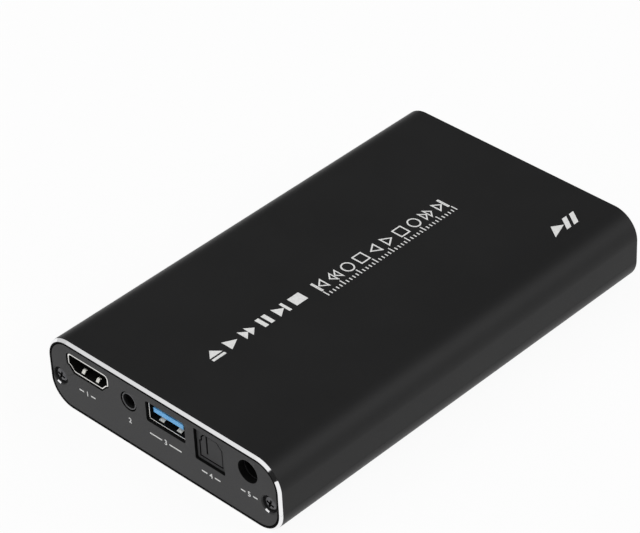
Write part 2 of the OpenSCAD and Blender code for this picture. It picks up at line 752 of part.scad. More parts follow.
coil_w = 5.2;
coil_h = 3;
module power_coils() {
    color([0.25, 0.25, 0.26]) placed() for (x = [8.3, 14.6])
        difference() {
            chip(x, board_back - 4.2, board_top, coil_w, coil_w, coil_h);
            translate([x, board_back - 4.2, board_top + coil_h - 0.3]) cylinder(r = 1.7, h = 1);
        }
}

// Can capacitors: [x, distance from the board's back edge]
can_r = 1.9;
can_h = 5.2;
can_at = [[post_right, 8.4], [19.6, 6.6]];
module can_capacitors() {
    color([0.75, 0.75, 0.77]) placed() for (p = can_at) translate([p[0], board_back - p[1], board_top]) {
        chip(0, 0, 0, 2 * can_r, 2 * can_r, 0.5);
        translate([0, 0, 0.5]) cylinder(r = can_r - 0.15, h = can_h - 0.5);
    }
}

module crystal() {
    color([0.8, 0.8, 0.8]) placed() chip(0.6, board_back - 3.4, board_top, 5, 3.2, 1.1);
}

// Rows of small parts: [x of the first, y from the board's back edge, count, spacing]
small_rows = [[-16, 0.5, 10, 1.9], [4.6, 0.8, 8, 1.9], [-2.6, 6.4, 4, 1.7], [6, 8, 5, 1.9]];
small_size = [1, 0.5, 0.45];
module board_small_parts() {
    color([0.45, 0.38, 0.3]) placed() for (row = small_rows, i = [0:row[2] - 1])
        chip(row[0] + i * row[3], board_back - row[1], board_top, small_size[0], small_size[1],
            small_size[2]);
}

// ---------- remote-control sensor ----------
cable_socket_d = 3;
cable_y0 = board_back - 1.4;
cable_y1 = sensor_y - 1.5;
bend_y0 = drive_back - 9;
bend_y1 = cable_y1 - 1;
cable_rise = window_z - cable_z;
cable_steps = 14;
// Centre line of the flat cable's rise behind the drive, and its direction
function rise_point(s) = [bend_y0 + (bend_y1 - bend_y0) * s, cable_z + cable_rise * (1 - cos(180 * s)) / 2];
function rise_slope(s) = cable_rise * PI / 2 * sin(180 * s) / (bend_y1 - bend_y0);
function rise_edge(s, side) = rise_point(s)
    + side * cable_t / 2 * [-rise_slope(s), 1] / sqrt(1 + pow(rise_slope(s), 2));
function cable_edge(side) = concat([[cable_y0, cable_z + side * cable_t / 2]],
    [for (i = [0:cable_steps]) rise_edge(i / cable_steps, side)],
    [[cable_y1, window_z + side * cable_t / 2]]);
function reversed(v) = [for (i = [len(v) - 1:-1:0]) v[i]];

module sensor_cable() {
    color([0.9, 0.9, 0.88]) placed() along_x(cable_x - cable_w / 2, cable_w)
        polygon(concat(cable_edge(-1), reversed(cable_edge(1))));
}

module sensor_cable_sockets() {
    color([0.85, 0.8, 0.68]) placed() {
        box(cable_x - cable_w / 2 - 1, cable_x + cable_w / 2 + 1, cable_y0 - cable_socket_d, cable_y0,
            board_top, cable_z + 0.6);
        box(cable_x - cable_w / 2 - 1, cable_x + cable_w / 2 + 1, cable_y1, sensor_y,
            window_z - 0.9, window_z + 0.9);
    }
}

module sensor_board() {
    color([0.05, 0.25, 0.16]) placed()
        box(sensor_x0, sensor_x1, sensor_y, sensor_y + sensor_t, tray_top + 0.25, sensor_z1);
}

module remote_receiver() {
    color([0.1, 0.08, 0.09]) placed() {
        box(window_x - 2.8, window_x + 2.8, sensor_y + sensor_t, sensor_y + sensor_t + 1.1, window_z - 2.6,
            window_z + 2.6);
        rod_y(window_x, sensor_y + sensor_t + 1, window_z, 1.8, 0.35);
    }
}

module status_light() {
    color([0.9, 0.9, 0.8]) placed()
        box(light_x - 0.8, light_x + 0.8, sensor_y + sensor_t, sensor_y + sensor_t + 0.9, window_z - 0.45,
            window_z + 0.45);
}

// ---------- hard drive ----------
// Placed by its own front edge and underside
cover_t = 0.8;
base_top = drive_h - cover_t;
board_pocket = 2;
pocket_w = drive_w - 15.85;
pocket_l = drive_l - 48;
well_floor = 2.7;
well_r = platter_d / 2 + 0.6;
spindle_y = drive_l - well_r - 1.8;
pivot_x = 14;
pivot_back = 43.1;                      // from the spindle to the arm's pivot, along the drive
pivot_y = spindle_y - pivot_back;
pivot_r = 2.95;
bearing_gap = 0.05;
arm_l = 36.5;
hub_r = 10;
grip_r = 12.2;                          // radius of the hub's flange, spacer and clamp
platter_z = [4.2, 6.4];
arm_block_r = 5.6;
arm_z = [3.2, 5.32, 7.42];
arm_t = 0.6;
pivot_to_spindle = sqrt(pow(pivot_x, 2) + pow(spindle_y - pivot_y, 2));
// Angle at the pivot between the spindle and a head that stands r from the spindle
function reach_angle(r) =
    acos((pow(pivot_to_spindle, 2) + pow(arm_l, 2) - pow(r, 2)) / (2 * pivot_to_spindle * arm_l));
park_r = platter_d / 2 + 2;
park_dir = atan2(spindle_y - pivot_y, -pivot_x) + reach_angle(park_r);
well_x = drive_w / 2 - 2;
coil_span = [6.8, 14.6];                // the voice coil's inner and outer radius from the pivot
yoke_r = [coil_span[0] + 0.6, coil_span[1] + 1];
arm_well = [[4 - well_x, pivot_y - 10], [pivot_x + 0.5, pivot_y - 10],
    [pivot_x + 0.5, pivot_y - yoke_r[1] - 0.1], [well_x, pivot_y - yoke_r[1] - 0.1],
    [well_x, pivot_y + 5], [well_x - 4, pivot_y + 7],
    [well_x - 4, spindle_y], [4 - well_x, spindle_y]];
cover_screw_x = drive_w / 2 - 3.1;
cover_screw_at = [for (sx = [-1, 1], y = [3.2, 31.5, drive_l - 3.4]) [sx * cover_screw_x, y]];
cover_screw_r = 0.8;
cover_head_r = 1.8;
mount_hole_y = [14, drive_l - 9.4];
mount_hole_x = drive_w / 2 - 4.07;
mount_hole_r = 1.25;
drive_corner_r = 1.5;

module in_drive() { placed() translate([0, drive_y, drive_z]) children(); }
module at_spindle(z) { in_drive() translate([0, spindle_y, z]) children(); }
module at_pivot(z) { in_drive() translate([pivot_x, pivot_y, z]) rotate([0, 0, park_dir]) children(); }
module ring(r0, r1, h) {
    difference() {
        cylinder(r = r1, h = h);
        translate([0, 0, -1]) cylinder(r = r0, h = h + 2);
    }
}
// A flat sector between two radii and two angles
module sector(r0, r1, a0, a1, h) {
    rotate([0, 0, a0]) rotate_extrude(angle = a1 - a0) translate([r0, 0]) square([r1 - r0, h]);
}

module drive_base() {
    color([0.62, 0.63, 0.65]) in_drive() {
        difference() {
            linear_extrude(height = base_top) round_rect(drive_w, drive_l, drive_corner_r);
            box(-pocket_w / 2, pocket_w / 2, -1, pocket_l, -1, board_pocket);
            box(plug_x - plug_w / 2 - 0.1, plug_x + plug_w / 2 + 0.1, -1, plug_depth + 0.1, -1,
                plug_up + 2.3);
            translate([0, spindle_y, well_floor]) cylinder(r = well_r, h = drive_h);
            translate([0, 0, well_floor]) linear_extrude(height = drive_h) polygon(arm_well);
            for (p = cover_screw_at)
                translate([p[0], p[1], base_top - 3]) cylinder(r = cover_screw_r + bearing_gap, h = 4);
            // Holes for fixing the drive from below and from the sides
            for (sx = [-1, 1], y = mount_hole_y) {
                translate([sx * mount_hole_x, y, -1]) cylinder(r = mount_hole_r, h = 3.2);
                translate([sx * drive_w / 2, y, 3]) rotate([0, -sx * 90, 0])
                    cylinder(r = mount_hole_r, h = 1.4);
            }
        }
        translate([pivot_x, pivot_y, well_floor - eps]) cylinder(r = pivot_r, h = 5.5);
    }
}

module drive_cover() {
    color([0.75, 0.76, 0.78]) in_drive() difference() {
        translate([0, 0.3, base_top]) linear_extrude(height = cover_t)
            round_rect(drive_w - 0.6, drive_l - 0.6, drive_corner_r);
        translate([0, spindle_y, drive_h - 0.25]) ring(22, 30, 1);
        translate([-18, 22, drive_h - 0.25]) cylinder(r = 6, h = 1);
        for (p = cover_screw_at) {
            translate([p[0], p[1], base_top - 1]) cylinder(r = cover_screw_r + 0.1, h = 3);
            translate([p[0], p[1], drive_h - 0.45]) cylinder(r = cover_head_r + 0.15, h = 1);
        }
    }
}

module drive_cover_screws() {
    color([0.5, 0.5, 0.52]) in_drive() for (p = cover_screw_at) translate([p[0], p[1], drive_h - 0.45])
        difference() {
            union() {
                cylinder(r = cover_head_r, h = 0.4);
                translate([0, 0, -2.8]) cylinder(r = cover_screw_r, h = 2.9);
            }
            cylinder(r = 0.75, h = 1, $fn = 6);
        }
}

drive_board_z = 0.2;
drive_board_t = 0.8;
module drive_board() {
    color([0.05, 0.2, 0.35]) in_drive() box(-pocket_w / 2 + 0.3, pocket_w / 2 - 0.3, 0.4, pocket_l - 0.4,
        drive_board_z, drive_board_z + drive_board_t);
}

// [x, y, width, depth] on the board's inner face
drive_chips = [[-8, 24, 12, 12], [12, 18, 8, 8], [14, 33, 9, 6], [-18, 40, 6, 5]];
module drive_board_chips() {
    color([0.08, 0.08, 0.08]) in_drive() for (c = drive_chips)
        chip(c[0], c[1], drive_board_z + drive_board_t, c[2], c[3], 0.8);
}

module drive_plug() {
    color([0.07, 0.07, 0.07]) in_drive() translate([plug_x, 0, 0]) {
        low = drive_board_z + drive_board_t;
        box(-plug_w / 2, plug_w / 2, plug_depth - 1.1, plug_depth, low, plug_up + 2.2);
        for (sx = [-1, 1])
            translate([sx * (plug_w - plug_arm) / 2, 0, 0])
                box(-plug_arm / 2, plug_arm / 2, 0.3, plug_depth, low, plug_up + 2.2);
        for (b = blade_spans) box(b[0], b[1], 0.5, plug_depth, plug_up - blade_t / 2, plug_up + blade_t / 2);
    }
}

module drive_plug_contacts() {
    color([0.85, 0.68, 0.3]) in_drive() for (b = blade_spans, x = pins_between(b))
        box(plug_x + x - 0.35, plug_x + x + 0.35, 0.9, plug_depth - 1.2, plug_up - blade_t / 2 - 0.1,
            plug_up - blade_t / 2);
}

// Fixed half of the motor: a post and nine wound teeth on a base plate
stator_r = 7.6;
motor_post_r = 2;
module spindle_motor() {
    color([0.55, 0.4, 0.25]) at_spindle(well_floor) {
        cylinder(r = hub_r - 0.6, h = 0.3);
        cylinder(r = motor_post_r, h = 4.7);
        ring(3, 4.4, 1.6);
        for (i = [0:8]) rotate([0, 0, 40 * i]) {
            translate([4.2, -0.8, 0.2]) cube([stator_r - 4.2, 1.6, 1.4]);
            translate([stator_r - 2.4, -1.2, 0.2]) cube([1.6, 2.4, 1.9]);
        }
    }
}

module spindle_hub() {
    color([0.7, 0.7, 0.72]) at_spindle(0) difference() {
        union() {
            translate([0, 0, 3.35]) cylinder(r = grip_r, h = platter_z[0] - 3.35);
            translate([0, 0, 3.5]) cylinder(r = hub_r - bearing_gap, h = 3.5);
        }
        translate([0, 0, 3]) cylinder(r = stator_r + 0.6, h = 2.4);
        translate([0, 0, 3]) cylinder(r = motor_post_r + bearing_gap, h = 5);
    }
}

module drive_platters() {
    color([0.85, 0.86, 0.88]) at_spindle(0) for (z = platter_z)
        translate([0, 0, z]) ring(hub_r, platter_d / 2, platter_t);
}

// Spacer between the platters, and the clamp over them with its four screws
module platter_clamp() {
    color([0.6, 0.6, 0.62]) at_spindle(0) {
        translate([0, 0, platter_z[0] + platter_t])
            ring(hub_r, grip_r, platter_z[1] - platter_z[0] - platter_t);
        translate([0, 0, platter_z[1] + platter_t]) ring(3, grip_r, 0.6);
        for (a = [0:90:270]) rotate([0, 0, a]) translate([6.5, 0, platter_z[1] + platter_t + 0.6])
            cylinder(r = 1.3, h = 0.4);
    }
}

coil_z = 5.1;
coil_t = 1.2;
magnet_gap = 0.35;
magnet_t = 0.8;
magnet_r = [coil_span[0] + 1.4, coil_span[1] + 0.4];
tab_r = coil_span[1] + 4.4;
pillar_at = coil_span[1] + 2.7;
yoke_a0 = 282;
yoke_a1 = 366;
// Steel yokes with a magnet on each, above and below the coil, in the drive's own directions
module voice_coil_yokes() {
    color([0.6, 0.6, 0.6]) in_drive() translate([pivot_x, pivot_y, 0]) {
        low_top = coil_z - magnet_gap;
        high_low = coil_z + coil_t + magnet_gap;
        plates = [[well_floor, low_top - magnet_t], [high_low + magnet_t, base_top - 0.1]];
        for (z = plates) translate([0, 0, z[0]]) {
            sector(yoke_r[0], yoke_r[1], yoke_a0, yoke_a1, z[1] - z[0]);
            // Tab for the pillar, outside the coil's path
            sector(magnet_r[1], tab_r, 312, 328, z[1] - z[0]);
        }
        for (z = [low_top - magnet_t, high_low]) translate([0, 0, z])
            sector(magnet_r[0], magnet_r[1], yoke_a0 + 3, yoke_a1 - 10, magnet_t);
        rotate([0, 0, 320]) translate([pillar_at, 0, well_floor])
            cylinder(r = 1.1, h = base_top - 0.2 - well_floor);
    }
}

module head_arm() {
    color([0.7, 0.71, 0.73]) at_pivot(0) {
        translate([0, 0, 3]) ring(pivot_r + bearing_gap, arm_block_r, 5.2);
        for (z = arm_z) translate([0, 0, z]) linear_extrude(height = arm_t) difference() {
            polygon([[4.5, -3.2], [12, -3.6], [arm_l - 7, -1.6], [arm_l + 1.4, -0.5], [arm_l + 1.4, 0.5],
                [arm_l - 7, 1.6], [12, 3.6], [4.5, 3.2]]);
            translate([14, 0]) circle(r = 1.6);
            translate([20, 0]) circle(r = 1.3);
        }
        // Fork round the coil
        translate([0, 0, coil_z]) linear_extrude(height = coil_t) {
            polygon([[-4.6, -3], [-coil_span[0], -2.5], [-coil_span[0], 2.5], [-4.6, 3]]);
            for (side = [0, 1]) mirror([0, side]) polygon([[-4.2, 2.8], [-coil_span[0], 2.4],
                [-coil_span[1], 4.85], [-coil_span[1], 5.7], [-coil_span[0], 3.4], [-4, 3.6]]);
        }
    }
}

module voice_coil() {
    color([0.75, 0.45, 0.25]) at_pivot(coil_z) linear_extrude(height = coil_t) difference() {
        polygon([[-coil_span[0], -2.35], [-coil_span[1], -4.8], [-coil_span[1], 4.8], [-coil_span[0], 2.35]]);
        polygon([[-9, -1.2], [-12.6, -2.2], [-12.6, 2.2], [-9, 1.2]]);
    }
}

// Comb that the parked arms rest on, just beyond the platters' edge
module head_ramp() {
    color([0.9, 0.88, 0.8]) in_drive() translate([pivot_x, pivot_y, 0]) {
        translate([0, 0, well_floor]) sector(arm_l + 1.9, arm_l + 5, park_dir - 3, park_dir + 5, 5.6);
        for (z = arm_z) translate([0, 0, z - 0.4])
            sector(arm_l + 0.2, arm_l + 2, park_dir - 1, park_dir + 5, 0.3);
    }
}

housing_sleeve();
end_plate();
end_plate_screws();
remote_window();
status_light_pipe();
port_plate();
port_plate_screws();
drive_tray();
drive_pads();
main_board();
main_board_screws();
video_socket_shell();
video_socket_insert();
video_socket_contacts();
av_jack_body();
av_jack_contacts();
data_socket_shell();
data_socket_insert();
data_socket_contacts();
optical_socket_body();
optical_shutter();
optical_shutter_spring();
optical_transmitter();
power_jack_body();
power_jack_pin();
power_jack_spring();
drive_socket_body();
drive_socket_contacts();
processor();
heat_sink();
memory_chips();
flash_chip();
power_coils();
can_capacitors();
crystal();
board_small_parts();
sensor_cable();
sensor_cable_sockets();
sensor_board();
remote_receiver();
status_light();
drive_base();
drive_cover();
drive_cover_screws();
drive_board();
drive_board_chips();
drive_plug();
drive_plug_contacts();
spindle_motor();
voice_coil_yokes();
head_ramp();
drive_platters();
spindle_hub();
platter_clamp();
head_arm();
voice_coil();
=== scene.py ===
import json
from math import atan2, cos, degrees, pi, radians, sin

import bmesh
import bpy
from mathutils import Matrix, Vector

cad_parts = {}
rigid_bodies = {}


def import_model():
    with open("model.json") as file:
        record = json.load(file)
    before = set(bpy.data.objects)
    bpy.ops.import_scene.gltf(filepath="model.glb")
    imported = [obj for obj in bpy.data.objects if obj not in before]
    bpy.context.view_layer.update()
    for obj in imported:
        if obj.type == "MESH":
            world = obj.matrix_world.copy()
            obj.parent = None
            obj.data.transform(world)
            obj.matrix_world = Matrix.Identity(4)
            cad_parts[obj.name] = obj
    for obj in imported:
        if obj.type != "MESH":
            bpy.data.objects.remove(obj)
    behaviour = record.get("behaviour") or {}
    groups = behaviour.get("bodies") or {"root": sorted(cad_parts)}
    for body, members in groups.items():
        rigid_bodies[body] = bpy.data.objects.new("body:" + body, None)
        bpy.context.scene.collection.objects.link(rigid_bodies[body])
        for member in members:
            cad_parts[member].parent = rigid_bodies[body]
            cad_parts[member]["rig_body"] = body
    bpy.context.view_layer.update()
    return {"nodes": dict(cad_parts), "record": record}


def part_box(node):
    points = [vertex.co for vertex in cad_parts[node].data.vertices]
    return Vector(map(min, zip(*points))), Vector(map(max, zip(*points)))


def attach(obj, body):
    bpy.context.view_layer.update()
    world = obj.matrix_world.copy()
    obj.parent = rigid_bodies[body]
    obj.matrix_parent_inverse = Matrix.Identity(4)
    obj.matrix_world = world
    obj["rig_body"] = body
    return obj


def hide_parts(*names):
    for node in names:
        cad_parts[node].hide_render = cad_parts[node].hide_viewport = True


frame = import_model()
scene = bpy.context.scene


# ---------- camera ----------
# A long lens looks down at the port end and the right-hand side, as in the photograph.
# Angles are in degrees round the object, and the roll tips the horizon a little.
camera_azimuth, camera_elevation, camera_roll = 45.663, 37.046, -2.978
camera_aim = Vector((-0.0094, -0.00058, 0.01937))
camera_distance = 0.7636
lens_mm = 167.013

azimuth, elevation, roll = radians(camera_azimuth), radians(camera_elevation), radians(camera_roll)
towards_camera = Vector((sin(azimuth) * cos(elevation), -cos(azimuth) * cos(elevation), sin(elevation)))
level_right = Vector((cos(azimuth), sin(azimuth), 0))
level_up = towards_camera.cross(level_right)
camera_right = cos(roll) * level_right + sin(roll) * level_up
camera_up = cos(roll) * level_up - sin(roll) * level_right

camera = bpy.data.objects.new("camera", bpy.data.cameras.new("camera"))
scene.collection.objects.link(camera)
camera.data.lens = lens_mm
camera.data.clip_start = 0.05
camera.data.clip_end = 60
camera.matrix_world = (Matrix.Translation(camera_aim + camera_distance * towards_camera)
                       @ Matrix((camera_right, camera_up, towards_camera)).transposed().to_4x4())
scene.camera = camera


# ---------- studio ----------
# A white sweep under a pale dome. The dome has bright panels in front and at the back right, a
# dark one at the back left, which the top mirrors, and a small dark one low at the front right.
dome_level = 0.66
dome_panels = [                 # direction, level, and the half angles where it fades in
    ((0.10, -0.82, 0.56), 0.95, 50, 34),
    ((0.62, 0.54, 0.57), 1.7, 38, 16),
    ((-0.42, 0.66, 0.62), 0.15, 52, 34),
    ((0.49, -0.83, 0.25), 0.02, 20, 15),
]
sweep_colour = (0.86, 0.86, 0.86, 1)
sweep_white = 0.93              # share of its own white that the camera and reflections see
lamps = (("key", (-0.8, -0.3, 1.15), 0.9, 4), ("fill", (0.9, 0.5, 0.8), 0.6, 1.5))

scene.view_settings.view_transform = "Standard"
world = bpy.data.worlds.new("dome")
scene.world = world
world.use_nodes = True
dome = world.node_tree
looking = dome.nodes.new("ShaderNodeTexCoord").outputs["Generated"]
level = None
for direction, panel_level, outer, inner in dome_panels:
    facing = dome.nodes.new("ShaderNodeVectorMath")
    facing.operation = "DOT_PRODUCT"
    facing.inputs[1].default_value = Vector(direction).normalized()
    dome.links.new(looking, facing.inputs[0])
    edge = dome.nodes.new("ShaderNodeMapRange")
    edge.interpolation_type = "SMOOTHSTEP"
    edge.inputs["From Min"].default_value = cos(radians(outer))
    edge.inputs["From Max"].default_value = cos(radians(inner))
    dome.links.new(facing.outputs["Value"], edge.inputs["Value"])
    blend = dome.nodes.new("ShaderNodeMix")
    blend.inputs["A"].default_value = dome_level
    blend.inputs["B"].default_value = panel_level
    dome.links.new(edge.outputs["Result"], blend.inputs["Factor"])
    if level is not None:
        dome.links.new(level, blend.inputs["A"])
    level = blend.outputs["Result"]
dome.nodes["Background"].inputs["Color"].default_value = (1, 1, 1, 1)
dome.links.new(level, dome.nodes["Background"].inputs["Strength"])

reach = 20
sweep_z = -0.00005              # a hair below the sleeve's base, so that the two faces never mix
corners = ((-reach, -reach), (reach, -reach), (reach, reach), (-reach, reach))
sweep_mesh = bpy.data.meshes.new("floor")
sweep_mesh.from_pydata([(x, y, sweep_z) for x, y in corners], [], [(0, 1, 2, 3)])
sweep = bpy.data.objects.new("floor", sweep_mesh)
scene.collection.objects.link(sweep)
paper = bpy.data.materials.new("white_sweep")
paper.use_nodes = True
tree = paper.node_tree
matt = tree.nodes["Principled BSDF"]
matt.inputs["Base Color"].default_value = sweep_colour
matt.inputs["Roughness"].default_value = 0.9
glow = tree.nodes.new("ShaderNodeEmission")
rays = tree.nodes.new("ShaderNodeLightPath")
seen = rays.outputs["Is Camera Ray"]
for kind in ("Is Glossy Ray", "Is Transmission Ray"):
    either = tree.nodes.new("ShaderNodeMath")
    either.operation = "MAXIMUM"
    tree.links.new(seen, either.inputs[0])
    tree.links.new(rays.outputs[kind], either.inputs[1])
    seen = either.outputs[0]
share = tree.nodes.new("ShaderNodeMath")
share.operation = "MULTIPLY"
share.inputs[1].default_value = sweep_white
tree.links.new(seen, share.inputs[0])
mixed = tree.nodes.new("ShaderNodeMixShader")
for source, socket in ((share, 0), (matt, 1), (glow, 2)):
    tree.links.new(source.outputs[0], mixed.inputs[socket])
tree.links.new(mixed.outputs[0], tree.nodes["Material Output"].inputs["Surface"])
sweep_mesh.materials.append(paper)

for name, place, size, watts in lamps:
    lamp = bpy.data.objects.new(name, bpy.data.lights.new(name, "AREA"))
    scene.collection.objects.link(lamp)
    lamp.data.size = size
    lamp.data.energy = watts
    lamp.matrix_world = Matrix.Translation(place) @ Vector(place).to_track_quat("Z", "Y").to_matrix().to_4x4()


# ---------- sleeve ----------
# The housing is one length of extruded aluminium tube, bead blasted and dyed black. A 45 degree
# bevel is then cut round both ends with a diamond tool, which leaves a ring of bright bare metal.
# Inside, a C-shaped channel on each side wall takes the end plates' screws.
MM = 0.001
front_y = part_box("housing_sleeve")[0].y
sleeve_w, sleeve_l, sleeve_h = (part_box("housing_sleeve")[1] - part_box("housing_sleeve")[0]) / MM
print_t = 0.012                 # the printing on the top ends at the sleeve's full height
wall_t = 1.3
corner_r = 7.7
bevel_w = 0.68
inner_chamfer = 0.1             # takes the sharpness off the inner edge
seat_wall_t = 1.1               # the bore is milled out at each end to seat a plate
plate_seat = 2.0                # depth of that seat
screw_x, screw_z = 37.0, 9.3
channel_r, channel_bore_r, channel_slot = 1.65, 0.88, 0.8
meets_within = 0.0005           # points of a drawing that are nearer than this are one
to_frame = Matrix.Translation((0, front_y, 0)) @ Matrix.Scale(MM, 4)


class Finish:
    """One material: a shader, and textures that vary it. Texture scales count per metre, and a
    scale given in place of a texture means plain noise."""

    def __init__(self, name, colour, rough, metal=0.0, gloss=0.5):
        self.material = bpy.data.materials.new(name)
        self.material.use_nodes = True
        self.tree = self.material.node_tree
        self.shader = self.tree.nodes["Principled BSDF"]
        self.own_colour = colour
        self.set("Base Color", (*colour, 1))
        self.set("Roughness", rough)
        self.set("Metallic", metal)
        self.set("Specular IOR Level", gloss)
        self.place = self.tree.nodes.new("ShaderNodeTexCoord").outputs["Object"]
        self.relief = None

    def set(self, socket, value):
        self.shader.inputs[socket].default_value = value

    def add(self, kind, settings, values, links):
        node = self.tree.nodes.new(kind)
        for key, value in settings.items():
            setattr(node, key, value)
        for key, value in values.items():
            node.inputs[key].default_value = value
        for key, source in links.items():
            self.tree.links.new(source, node.inputs[key])
        return node

    def noise(self, scale, detail=2.0, along=(1, 1, 1)):
        stretched = self.add("ShaderNodeMapping", {}, {"Scale": along}, {"Vector": self.place}).outputs[0]
        return self.add("ShaderNodeTexNoise", {}, {"Scale": scale, "Detail": detail},
                        {"Vector": stretched}).outputs["Fac"]

    def lines(self, scale, direction, wander=0.0):
        return self.add("ShaderNodeTexWave", {"bands_direction": direction},
                        {"Scale": scale, "Distortion": wander}, {"Vector": self.place}).outputs["Fac"]

    def cells(self, scale):
        return self.add("ShaderNodeTexVoronoi", {}, {"Scale": scale},
                        {"Vector": self.place}).outputs["Distance"]

    def texture(self, source):
        return self.noise(source) if isinstance(source, int) else source

    def between(self, source, low, high, start=0.35, end=0.65):
        """Spreads what a texture gives from start to end over the range from low to high."""
        ends = {"From Min": start, "From Max": end, "To Min": low, "To Max": high}
        return self.add("ShaderNodeMapRange", {}, ends, {"Value": self.texture(source)}).outputs["Result"]

    def rough(self, source, low, high):
        self.tree.links.new(self.between(source, low, high), self.shader.inputs["Roughness"])

    def colour(self, source, low, high, start=0.35, end=0.65):
        mix = self.add("ShaderNodeMix", {"data_type": "RGBA"}, {},
                       {"Factor": self.between(source, 0, 1, start, end)})
        a, b = [socket for socket in mix.inputs if socket.type == "RGBA"]
        a.default_value, b.default_value = (*low, 1), (*high, 1)
        if self.shader.inputs["Base Color"].is_linked:
            self.tree.links.new(self.shader.inputs["Base Color"].links[0].from_socket, a)
        out = [socket for socket in mix.outputs if socket.type == "RGBA"][0]
        self.tree.links.new(out, self.shader.inputs["Base Color"])

    def mottle(self, source, darker, lighter=None):
        """Varies the finish about its own colour, down by darker and up by lighter."""
        lighter = darker if lighter is None else lighter
        self.colour(source, [c - darker for c in self.own_colour], [c + lighter for c in self.own_colour])

    def bump(self, source, depth_mm, strength=1.0):
        links = {"Height": self.texture(source)}
        if self.relief is not None:
            links["Normal"] = self.relief
        values = {"Strength": strength, "Distance": depth_mm * MM}
        self.relief = self.add("ShaderNodeBump", {}, values, links).outputs["Normal"]
        self.tree.links.new(self.relief, self.shader.inputs["Normal"])


def arc(x, z, r, start, end, steps):
    angles = [radians(start + (end - start) * i / steps) for i in range(steps + 1)]
    return [(x + r * cos(a), z + r * sin(a)) for a in angles]


def as_mesh(work):
    mesh = bpy.data.meshes.new("piece")
    work.to_mesh(mesh)
    work.free()
    return mesh


def finished(work):
    """Turns a bmesh into a mesh with its faces all the right way out."""
    bmesh.ops.remove_doubles(work, verts=work.verts, dist=meets_within)
    bmesh.ops.recalc_face_normals(work, faces=work.faces)
    return as_mesh(work)


crease = 28                     # edges that turn by more degrees than this stay crisp
slot_of = {part["node"]: part["material_slot"] for part in frame["record"]["subparts"]}


def fit(name, mesh, finish, body, slot, *nodes):
    """Makes a piece from a mesh drawn in millimetres from the port end, and fixes it to its body."""
    mesh.name = name
    mesh.transform(to_frame)
    mesh.shade_smooth()
    mesh.set_sharp_from_angle(angle=radians(crease))
    for one in finish if isinstance(finish, list) else [finish]:
        mesh.materials.append(one.material)
    piece = bpy.data.objects.new(name, mesh)
    scene.collection.objects.link(piece)
    flat = piece.modifiers.new("flat_faces_stay_flat", "WEIGHTED_NORMAL")
    flat.keep_sharp = True
    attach(piece, body)
    if nodes:
        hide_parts(*nodes)


def fit_for(node, name, mesh, finish):
    """Fits a piece in the place of a node, on that node's body."""
    fit(name, mesh, finish, frame["nodes"][node]["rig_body"], slot_of[node], node)


def channel_outline():
    """The screw channel on the right: from its foot on the side wall, round its bore and back."""
    wall_x = sleeve_w / 2 - wall_t
    lip = degrees(channel_slot / 2 / channel_r)
    mouth = degrees(channel_slot / 2 / channel_bore_r)
    return ([(wall_x, screw_z - channel_r)] + arc(screw_x, screw_z, channel_r, 270, 180 + lip, 10)
            + arc(screw_x, screw_z, channel_bore_r, 180 + mouth, 540 - mouth, 28)
            + arc(screw_x, screw_z, channel_r, 180 - lip, 90, 10) + [(wall_x, screw_z + channel_r)])


def make_sleeve():
    corner_steps = 20
    stops = (screw_z - channel_r, screw_z + channel_r)

    def ring(inset, y):
        w, low, high, r = sleeve_w / 2 - inset, inset, sleeve_h - print_t - inset, corner_r - inset
        outline = (arc(w - r, low + r, r, -90, 0, corner_steps) + [(w, z) for z in stops]
                   + arc(w - r, high - r, r, 0, 90, corner_steps)
                   + arc(r - w, high - r, r, 90, 180, corner_steps)
                   + [(-w, z) for z in reversed(stops)] + arc(r - w, low + r, r, 180, 270, corner_steps))
        return [work.verts.new((x, y, z)) for x, z in outline]

    work = bmesh.new()
    along = [(wall_t, plate_seat), (seat_wall_t, plate_seat), (seat_wall_t, inner_chamfer),
             (seat_wall_t - inner_chamfer, 0), (bevel_w, 0), (0, bevel_w)]
    along += [(inset, sleeve_l - y) for inset, y in reversed(along)]
    rings = [ring(inset, y) for inset, y in along]
    dyed, bright, shaded = 0, 1, 2
    # The inner wall, the inner chamfer and the flat front annulus take painted shade black; the bevel is bare
    # metal and the outside dyed.
    finish_of_band = [shaded] * 4 + [bright, dyed, bright] + [shaded] * 4
    count = len(rings[0])
    for near, far, band in zip(rings, rings[1:], finish_of_band):
        for i in range(count):
            j = (i + 1) % count
            work.faces.new((near[i], near[j], far[j], far[i])).material_index = band
    # Between the plates the bore also follows the two screw channels
    right = corner_steps + 1
    left = 3 * (corner_steps + 1) + 2
    bores = []
    for ends, y in ((rings[0], plate_seat), (rings[-1], sleeve_l - plate_seat)):
        curl = channel_outline()[1:-1]
        on_right = [work.verts.new((x, y, z)) for x, z in curl]
        on_left = [work.verts.new((-x, y, z)) for x, z in reversed(curl)]
        work.faces.new([ends[right]] + on_right + [ends[right + 1]])
        work.faces.new([ends[left]] + on_left + [ends[left + 1]])
        bores.append(ends[:right + 1] + on_right + ends[right + 1:left + 1] + on_left + ends[left + 1:])
    near, far = bores
    for i in range(len(near)):
        j = (i + 1) % len(near)
        work.faces.new((near[i], near[j], far[j], far[i]))
    return finished(work)


blasted = Finish("black_anodised_aluminium", (0.0154, 0.0154, 0.0156), 0.42, gloss=0.125)
blasted.mottle(blasted.noise(45, 3), 0.0008)
blasted.rough(2600, 0.40, 0.45)
blasted.bump(blasted.noise(5200, 1), 0.004, 0.4)

cut_bright = Finish("diamond_cut_bevel", (0.88, 0.88, 0.89), 0.07, metal=1.0)
cut_bright.rough(cut_bright.noise(900, 2, (1, 14, 1)), 0.04, 0.09)
cut_bright.bump(cut_bright.lines(2600, "Y", 0.4), 0.002, 0.3)

